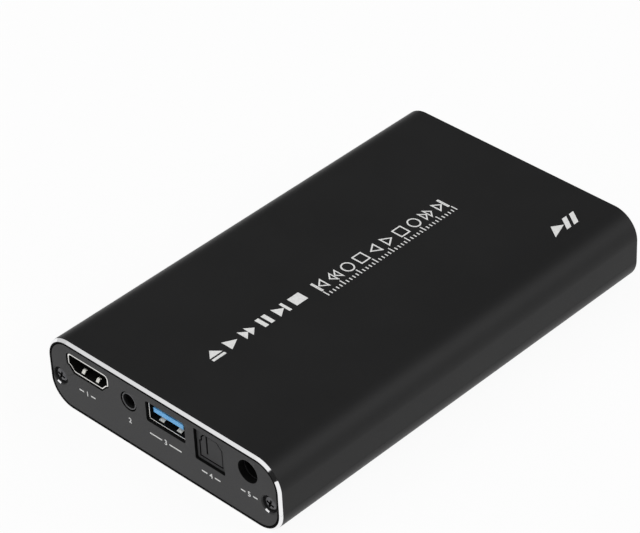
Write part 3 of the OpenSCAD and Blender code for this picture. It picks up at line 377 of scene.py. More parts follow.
# Black painted where shade falls: the sleeve's inner wall and front annulus, the walls of the plates'
# openings, and the insides of the sockets.
shade_paint = Finish("painted_shade_black", (0.005, 0.005, 0.005), 0.75, gloss=0.08)
shade_paint.mottle(700, 0.001)
shade_paint.bump(2600, 0.008, 0.4)

fit_for("housing_sleeve", "housing_skin", make_sleeve(), [blasted, cut_bright, shade_paint])


# ---------- printing on the top ----------
# White ink, silk-screened on the sleeve in plain transport symbols: a solid row, an outlined row,
# a fine scale beside it and one slanted mark near the far corner.
ink_sunk = 0.02
solid_row = (19.0, 52.7, -3.8, 0.15)    # first and last depth, top and foot across the sleeve
outline_row = (56.6, 105.5, -3.6, 0.7)
scale_row = (56.9, 105.3, 0.9, 3.2)
corner_mark = (112.7, 124.8, 26.6, 30.6)
outline_pen, scale_pen = 0.42, 0.34
corner_lean, corner_squeeze = 0.28, 0.78


def drawn_in(loop, inset):
    """The loop moved by inset towards the material, which lies on its left."""
    moved = []
    for before, here, after in zip(loop[-1:] + loop[:-1], loop, loop[1:] + loop[:1]):
        a = (Vector(here) - Vector(before)).normalized()
        b = (Vector(after) - Vector(here)).normalized()
        across = Vector((-a.y - b.y, a.x + b.x))
        moved.append(Vector(here) + across * inset / max(1 + a.dot(b), 0.3))
    return moved


def turned_over(loop):
    return sum(a[0] * b[1] - b[0] * a[1] for a, b in zip(loop, loop[1:] + loop[:1])) < 0


def slab(loops, low, high, edge=0.0, plane="xz", steps=2, work=None, painted_shade_index=0):
    """A flat part with softened edges. Outlines run anticlockwise round it and clockwise round
    its holes, in the named plane; low and high are its faces along the third direction. The walls
    of its holes take the finish that painted_shade_index counts to, which paints shade there."""
    own = work is None
    work = bmesh.new() if own else work
    turns = [pi / 2 * i / steps for i in range(steps + 1)] if edge else [pi / 2]
    levels = [(edge * (1 - sin(t)), edge * (1 - cos(t))) for t in turns]
    levels = [(inset, low + depth) for inset, depth in levels] + [
        (inset, high - depth) for inset, depth in reversed(levels)]
    spread = {"xz": lambda p, w: (p[0], w, p[1]), "xy": lambda p, w: (p[0], p[1], w),
              "yz": lambda p, w: (w, p[0], p[1])}[plane]
    caps = ([], [])
    for loop in loops:
        rings = [[work.verts.new(spread(p, depth)) for p in drawn_in(loop, inset)] for inset, depth in levels]
        count = len(loop)
        for near, far in zip(rings, rings[1:]):
            wall = painted_shade_index if turned_over(loop) and near is rings[len(turns) - 1] else 0
            for i in range(count):
                j = (i + 1) % count
                work.faces.new((near[i], near[j], far[j], far[i])).material_index = wall
        for cap, ring in zip(caps, (rings[0], rings[-1])):
            cap += [work.edges.get((ring[i], ring[(i + 1) % count])) for i in range(count)]
    for cap in caps:
        bmesh.ops.triangle_fill(work, use_beauty=True, use_dissolve=False, edges=cap)
    return finished(work) if own else None


def hole(points):
    return list(reversed(points))


def anticlockwise(loop):
    return hole(loop) if turned_over(loop) else loop


def rectangle(x0, x1, z0, z1):
    return [(x0, z0), (x1, z0), (x1, z1), (x0, z1)]


# Symbols are drawn in a square from 0 to 1, and each is a list of convex outlines
def mirrored(shapes):
    return [[(1 - u, v) for u, v in reversed(shape)] for shape in shapes]


play = [[(0.12, 0.0), (0.95, 0.5), (0.12, 1.0)]]
fast = [[(0.0, 0.0), (0.5, 0.5), (0.0, 1.0)], [(0.5, 0.0), (1.0, 0.5), (0.5, 1.0)]]
skip = [[(0.05, 0.0), (0.72, 0.5), (0.05, 1.0)], rectangle(0.74, 0.95, 0, 1)]
pause = [rectangle(0.1, 0.4, 0, 1), rectangle(0.6, 0.9, 0, 1)]
stop = [rectangle(0.04, 0.96, 0.04, 0.96)]
record = [arc(0.5, 0.5, 0.48, 0, 348, 29)]
eject = [[(0.0, 0.36), (1.0, 0.36), (0.5, 1.0)], rectangle(0, 1, 0.0, 0.22)]


def on_top(u, v, row, start, pitch):
    """Where a symbol's point lies on the sleeve: symbols follow one another along +Y."""
    return row[3] - v * (row[3] - row[2]), start + u * pitch


def print_row(shapes_in_row, row, gap, pen=0.0):
    """A row of symbols, which are solid or, with a pen, outlined."""
    pitch = (row[1] - row[0] + gap) / len(shapes_in_row)
    solids = []
    for k, shapes in enumerate(shapes_in_row):
        for shape in shapes:
            outline = anticlockwise([on_top(u, v, row, row[0] + k * pitch, pitch - gap) for u, v in shape])
            solids.append([outline, hole(drawn_in(outline, pen))] if pen else [outline])
    return solids


def print_scale(row, count=41, major=5):
    pitch = (row[1] - row[0]) / (count - 1)
    solids = []
    for k in range(count):
        share = 0.95 if k % major == 0 else 0.5
        middle = row[0] + k * pitch
        solids.append([rectangle(row[3] - (row[3] - row[2]) * share, row[3], middle - scale_pen / 2,
                                 middle + scale_pen / 2)])
    return solids


def print_corner(row):
    shapes = [[(0.0, 0.0), (0.45, 0.5), (0.0, 1.0)], rectangle(0.48, 0.66, 0, 1), rectangle(0.78, 0.96, 0, 1)]
    return [[anticlockwise([on_top((u + v * corner_lean) * corner_squeeze, v, row, row[0], row[1] - row[0])
                            for u, v in shape])] for shape in shapes]


ink = Finish("white_ink", (0.80, 0.80, 0.79), 0.55)
ink.mottle(1800, 0.04)
ink.bump(4200, 0.004, 0.5)

solid_symbols = [eject, play, fast, pause, skip, stop]
outlined_symbols = [mirrored(skip), mirrored(fast), record, stop, mirrored(play),
                    play, stop, record, fast, skip]
for name, solids in (("top_print_solid", print_row(solid_symbols, solid_row, 1.5)),
                     ("top_print_outline", print_row(outlined_symbols, outline_row, 1.3, outline_pen)),
                     ("top_print_scale", print_scale(scale_row)),
                     ("top_print_corner", print_corner(corner_mark))):
    work = bmesh.new()
    for solid in solids:
        slab(solid, sleeve_h - print_t - ink_sunk, sleeve_h, plane="xy", work=work)
    fit(name, finished(work), ink, "housing", "anodised_black")


# ---------- tray ----------
# The black moulded tray that slides out of the sleeve with everything on it: a trough with a front
# wall, posts for the board, guides and foam pads for the drive, and uprights for the sensor board.
weld_within, flat_within, sharp_over = 0.002, 0.5, 32    # millimetres, degrees, degrees


def softened(node, finish, edge=0.12, segments=2):
    """Replaces a node by a copy of its own shape, with its sharp edges moulded round."""
    work = bmesh.new()
    work.from_mesh(frame["nodes"][node].data)
    work.transform(to_frame.inverted())
    bmesh.ops.remove_doubles(work, verts=work.verts, dist=weld_within)
    bmesh.ops.dissolve_limit(work, angle_limit=radians(flat_within), verts=work.verts, edges=work.edges)
    sharp = [e for e in work.edges if e.is_manifold and e.calc_face_angle(0) > radians(sharp_over)]
    bmesh.ops.bevel(work, geom=sharp, offset=edge, segments=segments, profile=0.5, affect="EDGES",
                    clamp_overlap=True)
    bmesh.ops.recalc_face_normals(work, faces=work.faces)
    fit_for(node, node + "_finished", as_mesh(work), finish)


moulded = Finish("black_moulded_tray", (0.018, 0.018, 0.019), 0.52)
moulded.mottle(60, 0.002, 0.003)
moulded.rough(1400, 0.46, 0.6)
moulded.bump(moulded.cells(2600), 0.012, 0.35)
softened("drive_tray", moulded, 0.15)

foam = Finish("grey_foam", (0.045, 0.045, 0.05), 0.95, gloss=0.2)
foam.colour(foam.cells(2200), (0.025, 0.025, 0.028), (0.07, 0.07, 0.075), 0.1, 0.7)
foam.bump(foam.cells(2200), 0.12, 0.8)
softened("drive_pads", foam, 0.15)


# ---------- port board ----------
# A green fibreglass board with copper tracks under its solder mask, screwed to the tray's posts.
# The screws are small zinc-plated pan heads with a cross recess.
board_top_z = 12.3
mask = Finish("green_circuit_board", (0.010, 0.085, 0.045), 0.32)


def tracks(board, scale, bare, over):
    """Tracks that run across in some areas and lengthwise in others, and tinned holes between them."""
    across = board.between(board.lines(scale, "X"), 0, 1, 0.52, 0.6)
    lengthwise = board.between(board.lines(scale, "Y"), 0, 1, 0.52, 0.6)
    area = board.between(board.noise(170, 0), 0, 1, 0.49, 0.51)
    run = board.add("ShaderNodeMix", {}, {}, {"Factor": area, "A": across, "B": lengthwise}).outputs[0]
    board.colour(run, bare, over, 0.3, 0.7)
    board.bump(run, 0.03, 0.6)
    board.colour(board.cells(420), (0.62, 0.58, 0.45), bare, 0.1, 0.13)


tracks(mask, 330, (0.008, 0.070, 0.038), (0.014, 0.120, 0.060))
softened("main_board", mask, 0.06, 1)

zinc = Finish("zinc_plated_screw", (0.72, 0.72, 0.70), 0.24, metal=1.0)
zinc.mottle(900, 0.06)
zinc.rough(2400, 0.18, 0.32)
softened("main_board_screws", zinc, 0.1)


# ---------- video socket ----------
# A full-size 19-contact socket: a folded steel shell, nickel plated, with a D-shaped mouth that is
# drawn in below its shoulders, two pairs of spring fingers, and a black tongue with gold contacts.
video_x, video_z, video_face, video_l = -26.2, 15.85, 0.3, 11.6
video_half_w, video_half_h, video_foot = 7.0, 2.28, 4.9
shell_t = 0.35
finger_x, finger_w, finger_t = 2.6, 1.05, 0.22
video_leg_x, video_leg_ys, video_leg_top, video_leg_w, video_leg_d = 6.55, (2.9, 9.7), 14.4, 1.0, 0.4
legs_low_z = 10.35              # a shell's legs end just below the board


def fillet(corners, r, steps=6):
    """An outline with its corners rounded; r is one radius, or a list with one for each corner."""
    radii = r if isinstance(r, list) else [r] * len(corners)
    points = []
    for k, radius in enumerate(radii):
        here = Vector(corners[k])
        back = Vector(corners[k - 1]) - here
        on = Vector(corners[(k + 1) % len(corners)]) - here
        half = back.angle(on) / 2
        run = radius / (sin(half) / cos(half))
        centre = here + (back.normalized() + on.normalized()).normalized() * radius / sin(half)
        first = here + back.normalized() * run - centre
        last = here + on.normalized() * run - centre
        start = atan2(first.y, first.x)
        turn = (atan2(last.y, last.x) - start + pi) % (2 * pi) - pi
        points += [(centre.x + radius * cos(start + turn * i / steps),
                    centre.y + radius * sin(start + turn * i / steps)) for i in range(steps + 1)]
    return points


def video_outline(grow, r_top=0.9, r_low=0.5):
    w, h, f = video_half_w + grow, video_half_h + grow, video_foot + 0.45 * grow
    shoulder = -0.45 - 0.4 * grow
    corners = [(-f, -h), (f, -h), (w - 0.8, shoulder - 0.4), (w, shoulder), (w, h), (-w, h),
               (-w, shoulder), (0.8 - w, shoulder - 0.4)]
    rounding = [r_low, r_low, 0.5, 0.35, r_top, r_top, 0.35, 0.5]
    return [(video_x + x, video_z + z) for x, z in fillet(corners, rounding, 5)]


def strip(points, x, width, thick, work):
    """A bent leaf of sheet metal: its line is drawn in (y, z), and it is as wide as given in x."""
    line = [Vector(p) for p in points]
    sides = ([], [])
    for k, here in enumerate(line):
        ahead = (line[min(k + 1, len(line) - 1)] - line[max(k - 1, 0)]).normalized()
        normal = Vector((-ahead.y, ahead.x)) * thick / 2
        sides[0].append(tuple(here - normal))
        sides[1].append(tuple(here + normal))
    slab([sides[0] + sides[1][::-1]], x - width / 2, x + width / 2, 0.04, "yz", 1, work)


def curve_between(a, b, c, steps=8):
    """Points of a smooth bend from a to c that is drawn towards b."""
    a, b, c = Vector(a), Vector(b), Vector(c)
    ts = [i / steps for i in range(steps + 1)]
    return [tuple((1 - t) ** 2 * a + 2 * t * (1 - t) * b + t * t * c) for t in ts]


nickel = Finish("nickel_plated_shell", (0.86, 0.85, 0.82), 0.2, metal=1.0)
nickel.mottle(500, 0.06, 0.04)
nickel.rough(1500, 0.16, 0.28)
nickel.bump(nickel.lines(1500, "X", 1.5), 0.003, 0.3)

tin = Finish("tinned_spring_finger", (0.93, 0.92, 0.86), 0.5, metal=0.15)
tin.mottle(900, 0.03)
tin.rough(1500, 0.42, 0.6)

gold = Finish("gold_plated_contact", (0.83, 0.60, 0.24), 0.25, metal=1.0)
gold.colour(700, (0.76, 0.53, 0.20), (0.88, 0.66, 0.30))
gold.rough(2200, 0.2, 0.34)

# Matt black moulding, which also stands as painted shade on the data socket's back block.
matt_black_and_shade = Finish("matt_black_moulding_and_painted_shade", (0.007, 0.007, 0.007), 0.7, gloss=0.1)
matt_black_and_shade.mottle(400, 0.001)
matt_black_and_shade.bump(3000, 0.006, 0.4)


def joined(meshes):
    work = bmesh.new()
    for mesh in meshes:
        work.from_mesh(mesh)
    return as_mesh(work)


def painted(work, index):
    """Gives all that is drawn so far the finish that index counts to."""
    for face in work.faces:
        face.material_index = index


def spring_fingers(face, middle, root, leaf, tip, xs, width):
    """Two pairs of fingers: each is a leaf, plated like its shell, with a tinned tip."""
    leaves, tips = bmesh.new(), bmesh.new()
    for x in xs:
        for up in (-1, 1):
            for line, work in ((leaf, leaves), (tip, tips)):
                strip([(face + y, middle + up * (root - z)) for y, z in line], x, width, finger_t, work)
    painted(tips, 2)
    return joined([finished(leaves), finished(tips)])


fingers = spring_fingers(video_face, video_z, video_half_h - 0.12,
                         curve_between((6.2, 0), (3.6, 0.1), (1.6, 0.88)),
                         curve_between((1.5, 0.92), (1.1, 1.0), (0.6, 0.1), 5),
                         (video_x - finger_x, video_x + finger_x), finger_w)
work = bmesh.new()
# The inside walls of the shell are painted black for the shade within it; its fingers stay plated.
slab([video_outline(shell_t), hole(video_outline(0))], video_face, video_face + video_l, 0.13, "xz", 3, work,
     painted_shade_index=1)
for x in (video_x - video_leg_x, video_x + video_leg_x):
    for y in video_leg_ys:
        leg = fillet(rectangle(x - video_leg_w / 2, x + video_leg_w / 2, legs_low_z, video_leg_top), 0.2, 3)
        slab([leg], video_face + y - video_leg_d / 2, video_face + y + video_leg_d / 2, 0.05, "xz", 1, work)
plated_shell = [nickel, shade_paint, tin]
fit_for("video_socket_shell", "video_shell_folded", joined([finished(work), fingers]), plated_shell)

tongue_z, tongue_half_w, tongue_half_t = video_z + 0.25, 5.5, 0.65
block_y = video_face + 6.6      # where the tongue grows out of its block
contact_pitch = 1.0
work = bmesh.new()
slab([video_outline(-0.05)], block_y, video_face + video_l - 0.2, 0.05, "xz", 1, work)
tongue = rectangle(video_x - tongue_half_w, video_x + tongue_half_w, tongue_z - tongue_half_t,
                   tongue_z + tongue_half_t)
slab([fillet(tongue, 0.2, 3)], video_face + 1.8, block_y + 0.4, 0.15, "xz", 2, work)
fit_for("video_socket_insert", "video_tongue_moulded", finished(work), matt_black_and_shade)

work = bmesh.new()
for count, z in ((10, tongue_z + tongue_half_t + 0.03), (9, tongue_z - tongue_half_t - 0.03)):
    for i in range(count):
        x = video_x + (i - (count - 1) / 2) * contact_pitch
        strip([(video_face + 2.2, z), (block_y, z)], x, 0.4, 0.12, work)
fit_for("video_socket_contacts", "video_contacts_plated", finished(work), gold)


# ---------- round sound and picture jack ----------
# A 3.5 mm jack with four poles: a moulded body on the board, whose grey collar comes flush through
# the plate. The leaf contacts lie in pockets at the sides of its bore.
av_x, av_z = -11.3, 14.85
av_bore_r, av_mouth_r, av_collar_r = 1.8, 2.12, 2.5
av_body_y, av_body_l, av_half_w, av_top_z = 2.05, 11.95, 3.1, 17.4


def circle(x, z, r, steps=40):
    return arc(x, z, r, 0, 360, steps)[:-1]


def turned(profile, x, z, work, steps=48):
    """A part turned about the line along Y through (x, z). The profile is a list of (radius, y)."""
    rings = []
    for r, y in profile:
        count = steps if r > 0 else 1
        rings.append([work.verts.new((x + r * cos(2 * pi * i / steps), y, z + r * sin(2 * pi * i / steps)))
                      for i in range(count)])
    for near, far in zip(rings, rings[1:]):
        for i in range(steps):
            j = (i + 1) % steps
            corners = [near[i % len(near)], near[j % len(near)], far[j % len(far)], far[i % len(far)]]
            corners = list(dict.fromkeys(corners))
            if len(corners) > 2:
                work.faces.new(corners)


collar_grey = Finish("grey_jack_collar", (0.075, 0.075, 0.078), 0.42)
collar_grey.mottle(300, 0.006, 0.007)
collar_grey.bump(3000, 0.006, 0.4)

work = bmesh.new()
turned([(av_bore_r, 13.0), (av_bore_r, 0.9), (av_mouth_r, 0.4), (av_mouth_r + 0.06, 0.22),
        (av_collar_r - 0.1, 0.22), (av_collar_r, 0.34), (av_collar_r, 2.6)], av_x, av_z, work)
body = fillet(rectangle(av_x - av_half_w, av_x + av_half_w, board_top_z, av_top_z), [0.15, 0.15, 0.9, 0.9], 5)
slab([body, hole(circle(av_x, av_z, av_bore_r + 0.02, 48))], av_body_y, av_body_y + av_body_l, 0.12, "xz", 2,
     work)
turned([(0, 13.2), (av_bore_r + 0.1, 13.2), (av_bore_r + 0.1, 13.7), (0, 13.7)], av_x, av_z, work)
# The bore and its mouth are painted black for the shade inside the jack.
for face in work.faces:
    x, _, z = face.calc_center_median()
    if (Vector((x, z)) - Vector((av_x, av_z))).length < av_mouth_r:
        face.material_index = 1
fit_for("av_jack_body", "av_jack_moulded", finished(work), [collar_grey, shade_paint])

av_leaf_x, av_leaf_t, av_leaf_ys, av_leaf_zs = 2.2, 0.16, (6.1, 11.3), (14.1, 15.6)
work = bmesh.new()
for x in (av_x - av_leaf_x, av_x + av_leaf_x):
    leaf = rectangle(x - av_leaf_t / 2, x + av_leaf_t / 2, *av_leaf_ys)
    slab([leaf], *av_leaf_zs, plane="xy", work=work)
fit_for("av_jack_contacts", "av_jack_leaves", finished(work), nickel)


# ---------- data socket ----------
# A socket for a flat data plug: a folded and plated steel shell, set a little back from the plate's
# face, with a light blue tongue that carries a row of short contacts and a row of long ones.
data_x, data_z, data_face, data_l = 1.85, 15.5, 0.95, 14.0
data_w, data_h, data_t = 13.1, 5.6, 0.3
data_finger_x = 3.1
data_leg_x, data_leg_ys, data_leg_top, data_leg_w, data_leg_d = 6.4, (4.4, 10.6), 13.2, 0.28, 1.8
tongue_w, tongue_t, data_tongue_z = 10.6, 1.55, 15.95


def data_outline(grow, r):
    return fillet(rectangle(data_x - data_w / 2 - grow, data_x + data_w / 2 + grow,
                            data_z - data_h / 2 - grow, data_z + data_h / 2 + grow), r, 5)


def block(x0, x1, y0, y1, z0, z1, work, edge=0.12):
    """A moulded block with every edge softened."""
    slab([fillet(rectangle(x0, x1, z0, z1), edge, 3)], y0, y1, edge, "xz", 2, work)


blue = Finish("light_blue_tongue", (0.14, 0.48, 0.90), 0.36)
blue.colour(260, (0.13, 0.46, 0.88), (0.15, 0.50, 0.92))
blue.rough(1500, 0.3, 0.42)
blue.bump(2600, 0.006, 0.35)

fingers = spring_fingers(data_face, data_z, data_h / 2 - data_t / 2,
                         curve_between((7, 0), (4.4, 0.1), (2.5, 0.5)),
                         curve_between((2.4, 0.52), (1.6, 0.62), (0.6, 0.2), 5),
                         (data_x - data_finger_x, data_x + data_finger_x), 1.6)
work = bmesh.new()
# The inside walls of the shell are painted black for the shade within it.
slab([data_outline(0.14, 0.6), hole(data_outline(-data_t, 0.25))], data_face - 0.2, data_face + data_l, 0.1,
     "xz", 3, work, painted_shade_index=1)
for x in (data_x - data_leg_x, data_x + data_leg_x):
    for y in data_leg_ys:
        leg = rectangle(x - data_leg_w / 2, x + data_leg_w / 2, legs_low_z, data_leg_top)
        slab([leg], data_face + y - data_leg_d / 2, data_face + y + data_leg_d / 2, 0.05, "xz", 1, work)
fit_for("data_socket_shell", "data_shell_folded", joined([finished(work), fingers]), plated_shell)

work = bmesh.new()
# The block behind the tongue is painted black for the shade deep inside the shell, though the real insulator
# is blue.
slab([data_outline(-data_t - 0.03, 0.2)], data_face + 9.4, data_face + data_l - 0.1, 0.05, "xz", 1, work)
painted(work, 1)
block(data_x - tongue_w / 2, data_x + tongue_w / 2, data_face + 0.2, data_face + 9.6,
      data_tongue_z - tongue_t / 2, data_tongue_z + tongue_t / 2, work, 0.16)
fit_for("data_socket_insert", "data_tongue_moulded", finished(work), [blue, matt_black_and_shade])

work = bmesh.new()
low_z = data_tongue_z - tongue_t / 2 - 0.04
for x in (-3.5, -1, 1, 3.5):
    strip([(data_face + 2.9, low_z - 0.02), (data_face + 4.6, low_z - 0.14), (data_face + 9.3, low_z)],
          data_x + x, 1.0, 0.1, work)
for x in (-4, -2, 0, 2, 4):
    strip([(data_face + 1.2, low_z), (data_face + 2.2, low_z)], data_x + x, 0.6, 0.1, work)
fit_for("data_socket_contacts", "data_contacts_plated", finished(work), gold)


# ---------- optical socket ----------
# A square moulded socket for an optical sound lead. A sprung dust flap with clipped upper corners
# hangs from a pin inside its mouth, and the light source shines through the hole in its back.
optical_x, optical_z, optical_face, optical_l = 17.1, 14.6, 0.65, 12.6
optical_w, optical_h, optical_wall, mouth_t, optical_back_t, light_hole_r = 9.6, 9.0, 0.8, 0.5, 1.6, 2.6
peg_w, peg_ys, peg_top = 1.1, (9.8, 11.8), 13.5
pin_y, pin_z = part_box("optical_shutter")[0].y / MM - front_y / MM + 0.4, 17.55
pin_r, pin_l = 0.45, optical_w - 0.2
flap_half, flap_low, flap_clip = 3.8, 11.1, 1.7
flap_ys, flap_face_back = (1.62, 2.3), 1.16
flap_rise = 0.5                 # the flap's face reaches above its pin
boss_half_w, boss_ys = 2.8, (1.1, 1.7)
slot_x0, slot_x1, slot_low = -1.72, -1.16, 12.5


def flap_outline(grow, r, rise=0.0, slot=()):
    """The flap's outline, grown by grow, with one clipped and one stepped upper corner."""
    half, low, top = flap_half + grow, flap_low - grow, pin_z + 0.1 + grow / 2 + rise
    corners = [(-half, low), (half, low), (half, top - flap_clip), (half - flap_clip, top), *slot,
               (1.5 - half, top), (0.6 - half, top - 0.9), (0.6 - half, top - 2), (-half, top - 2.3)]
    return [(optical_x + x, z) for x, z in fillet(corners, r, 3)]


def optical_outline(grow, r):
    return fillet(rectangle(optical_x - optical_w / 2 - grow, optical_x + optical_w / 2 + grow,
                            optical_z - optical_h / 2 - grow, optical_z + optical_h / 2 + grow), r, 4)


dull_black = Finish("dull_black_flap", (0.026, 0.026, 0.027), 0.5, gloss=0.25)
dull_black.mottle(300, 0.002)
dull_black.bump(3000, 0.006, 0.4)

work = bmesh.new()
outside = optical_outline(0, 0.35)
back_y = optical_face + optical_l - optical_back_t
# The walls of the mouth and of the inside are painted black for the shade within the socket.
slab([outside, hole(flap_outline(0.18, 0.1, flap_rise))], optical_face, optical_face + mouth_t, 0.05, "xz", 2,
     work, painted_shade_index=1)
slab([outside, hole(optical_outline(-optical_wall, 0.2))], optical_face + mouth_t, back_y, 0.02, "xz", 1,
     work, painted_shade_index=1)
slab([outside, hole(circle(optical_x, optical_z, light_hole_r))], back_y, optical_face + optical_l, 0.05,
     "xz", 1, work)
for side in (-1, 1):
    x = optical_x + side * (optical_w / 2 + peg_w / 2)
    block(x - peg_w / 2, x + peg_w / 2, *[optical_face + y for y in peg_ys], board_top_z, peg_top, work, 0.1)
fit_for("optical_socket_body", "optical_body_moulded", finished(work), [dull_black, shade_paint])

work = bmesh.new()
slab([flap_outline(0, 0.25)], *flap_ys, 0.06, "xz", 2, work)
block(optical_x - boss_half_w, optical_x + boss_half_w, *boss_ys, flap_low + 0.6, pin_z - 1.2, work)
painted(work, 1)
face_top = pin_z + 0.02 + flap_rise
slot = [(slot_x1, face_top), (slot_x1, slot_low), (slot_x0, slot_low), (slot_x0, face_top)]
slab([flap_outline(-0.16, 0.08, flap_rise, slot)], optical_face + 0.08, flap_face_back, 0.04, "xz", 1, work)
pin = bmesh.new()
turned([(0, 0), (pin_r - 0.07, 0), (pin_r, 0.07), (pin_r, pin_l - 0.07), (pin_r - 0.07, pin_l), (0, pin_l)],
       0, 0, pin, 24)
pin.transform(Matrix.Translation((optical_x - pin_l / 2, pin_y, pin_z)) @ Matrix.Rotation(-pi / 2, 4, "Z"))
fit_for("optical_shutter", "optical_flap_moulded", joined([finished(work), finished(pin)]),
        [dull_black, matt_black_and_shade])

steel = Finish("spring_steel", (0.62, 0.62, 0.60), 0.28, metal=1.0)
steel.mottle(600, 0.07, 0.06)
steel.rough(2000, 0.22, 0.36)
softened("optical_shutter_spring", steel, 0.03)

epoxy = Finish("black_chip_epoxy", (0.022, 0.022, 0.023), 0.55)
epoxy.mottle(900, 0.003, 0.005)
epoxy.rough(2600, 0.48, 0.66)
epoxy.bump(5200, 0.006, 0.5)
softened("optical_transmitter", epoxy, 0.1)


# ---------- power jack ----------
# A barrel jack behind a round hole in the plate: a black moulded block with a deep bore, a plated
# centre pin and a leaf spring that presses on the barrel.
power_x, power_z, power_face, power_l = 30.3, 15.87, 2.1, 14.4
power_bore_r, power_pin_r, power_shank_r, power_rivet_r = 3.15, 1.0, 0.8, 1.8
power_half_w, power_top_z, power_mouth_r = 4.3, 19.4, 3.25
bore_end, power_end = power_face + 9.6, power_face + power_l

glossy_black = Finish("black_moulded_socket", (0.012, 0.012, 0.013), 0.38)
glossy_black.mottle(200, 0.002, 0.003)
glossy_black.rough(1500, 0.32, 0.46)
glossy_black.bump(3200, 0.006, 0.4)

work = bmesh.new()
body = fillet(rectangle(power_x - power_half_w, power_x + power_half_w, board_top_z, power_top_z), 0.4, 4)
# The walls of the bore are painted black for the shade inside it.
slab([body, hole(circle(power_x, power_z, power_bore_r, 56))], power_face, bore_end, 0.1, "xz", 2, work,
     painted_shade_index=1)
slab([body], bore_end, power_end, 0.1, "xz", 2, work)
turned([(power_bore_r - 0.02, bore_end - 0.05), (power_bore_r - 0.02, power_face + 5.2),
        (power_bore_r - 0.5, power_face + 5.0), (power_bore_r - 0.5, bore_end - 0.05)],
       power_x, power_z, work, 56)
fit_for("power_jack_body", "power_jack_moulded", finished(work), [glossy_black, shade_paint])

work = bmesh.new()
turned([(0, power_face + 0.8), (0.45, power_face + 0.86), (0.85, power_face + 1.15),
        (power_pin_r, power_face + 1.6), (power_pin_r, bore_end), (power_shank_r, bore_end),
        (power_shank_r, power_end), (power_rivet_r, power_end), (power_rivet_r, power_end + 0.5),
        (0, power_end + 0.6)], power_x, power_z, work)
fit_for("power_jack_pin", "power_pin_plated", finished(work), nickel)

work = bmesh.new()
leaf = curve_between((3.2, -0.45), (5.8, 0.6), (8.8, -0.45), 12)
outer = [(power_x - power_bore_r + x - 0.1, power_face + y) for y, x in leaf]
inner = [(power_x - power_bore_r + x + 0.1, power_face + y) for y, x in leaf]
slab([hole(outer + inner[::-1])], power_z - 0.8, power_z + 0.8, 0.03, "xy", 1, work)
fit_for("power_jack_spring", "power_leaf_spring", finished(work), nickel)


# ---------- drive socket ----------
# The socket that the drive plugs into hangs under the board's back edge. It is moulded in black,
# with spring contacts below its two slots.
softened("drive_socket_body", glossy_black, 0.12)
softened("drive_socket_contacts", gold, 0.03, 1)


# ---------- chips and small parts ----------
# What the board carries: a processor under a finned heat sink, memory and flash chips with tinned
# legs, two wound coils, can capacitors, a crystal and rows of small chip parts.
leg_pitch, leg_w, leg_reach = 0.5, 0.22, 0.75


def legs(x0, x1, y_edge, side):
    """A row of gull-wing legs along X, beside one edge of a chip on the board."""
    work = bmesh.new()
    count = int((x1 - x0) / leg_pitch)
    bend = ((0, 0.5), (0.25, 0.5), (0.45, 0.1), (1, 0.06))
    line = [(y_edge + side * out * leg_reach, board_top_z + up) for out, up in bend]
    for i in range(count):
        strip(line, x0 + (i + 0.5) * (x1 - x0) / count, leg_w, 0.12, work)
    return finished(work)


softened("processor", epoxy, 0.08)
fins = Finish("black_heat_sink", (0.016, 0.016, 0.017), 0.4, gloss=0.4)
fins.mottle(400, 0.002, 0.004)
fins.rough(2600, 0.34, 0.48)
fins.bump(fins.lines(1200, "Z", 0.8), 0.004, 0.4)
softened("heat_sink", fins, 0.1)
softened("memory_chips", epoxy, 0.1)

tinned = Finish("tinned_leg", (0.78, 0.77, 0.74), 0.3, metal=1.0)
tinned.rough(2600, 0.24, 0.4)
softened("flash_chip", epoxy, 0.12)
near, far = [to_frame.inverted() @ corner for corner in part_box("flash_chip")]
rows = [legs(near.x + 0.4, far.x - 0.4, y, side) for y, side in ((near.y, -1), (far.y, 1))]
fit("flash_chip_legs", joined(rows), tinned, "tray", slot_of["main_board_screws"])

ferrite = Finish("ferrite_coil", (0.055, 0.055, 0.058), 0.6)
ferrite.mottle(1300, 0.01, 0.015)
ferrite.bump(3600, 0.015, 0.5)
softened("power_coils", ferrite, 0.25, 3)

can = Finish("can_aluminium", (0.80, 0.80, 0.82), 0.25, metal=1.0)
can.rough(1200, 0.2, 0.32)
can.bump(can.lines(900, "Z", 0.3), 0.003, 0.3)
softened("can_capacitors", can, 0.18, 3)
softened("crystal", can, 0.3, 3)

ceramic = Finish("ceramic_small_part", (0.30, 0.22, 0.15), 0.45)
ends = ceramic.between(ceramic.lines(500, "X"), 0, 1, 0.75, 0.8)
ceramic.colour(380, (0.05, 0.05, 0.055), (0.42, 0.30, 0.19), 0.46, 0.5)
ceramic.colour(ends, (0, 0, 0), (0.72, 0.71, 0.68), 0, 1)
softened("board_small_parts", ceramic, 0.04, 1)


# ---------- remote-control sensor ----------
# A small upright board at the far end holds the infrared receiver and the status light. A flat
# cable with bonded strands runs to it over the drive, between two cream-coloured sockets.
cable = Finish("flat_cable", (0.72, 0.72, 0.70), 0.5)
cable.colour(cable.lines(160, "X"), (0.80, 0.80, 0.78), (0.52, 0.53, 0.54), 0.5, 0.8)
cable.bump(cable.lines(160, "X"), 0.05, 0.5)
softened("sensor_cable", cable, 0.06, 1)

cream = Finish("cream_socket", (0.66, 0.60, 0.46), 0.45)
cream.mottle(300, 0.04)
cream.bump(2600, 0.008, 0.4)
softened("sensor_cable_sockets", cream, 0.15)
softened("sensor_board", mask, 0.06, 1)

smoked = Finish("smoked_lens", (0.022, 0.004, 0.007), 0.12)
smoked.colour(250, (0.019, 0.003, 0.006), (0.026, 0.006, 0.009))
smoked.rough(1500, 0.08, 0.16)
softened("remote_receiver", smoked, 0.15)

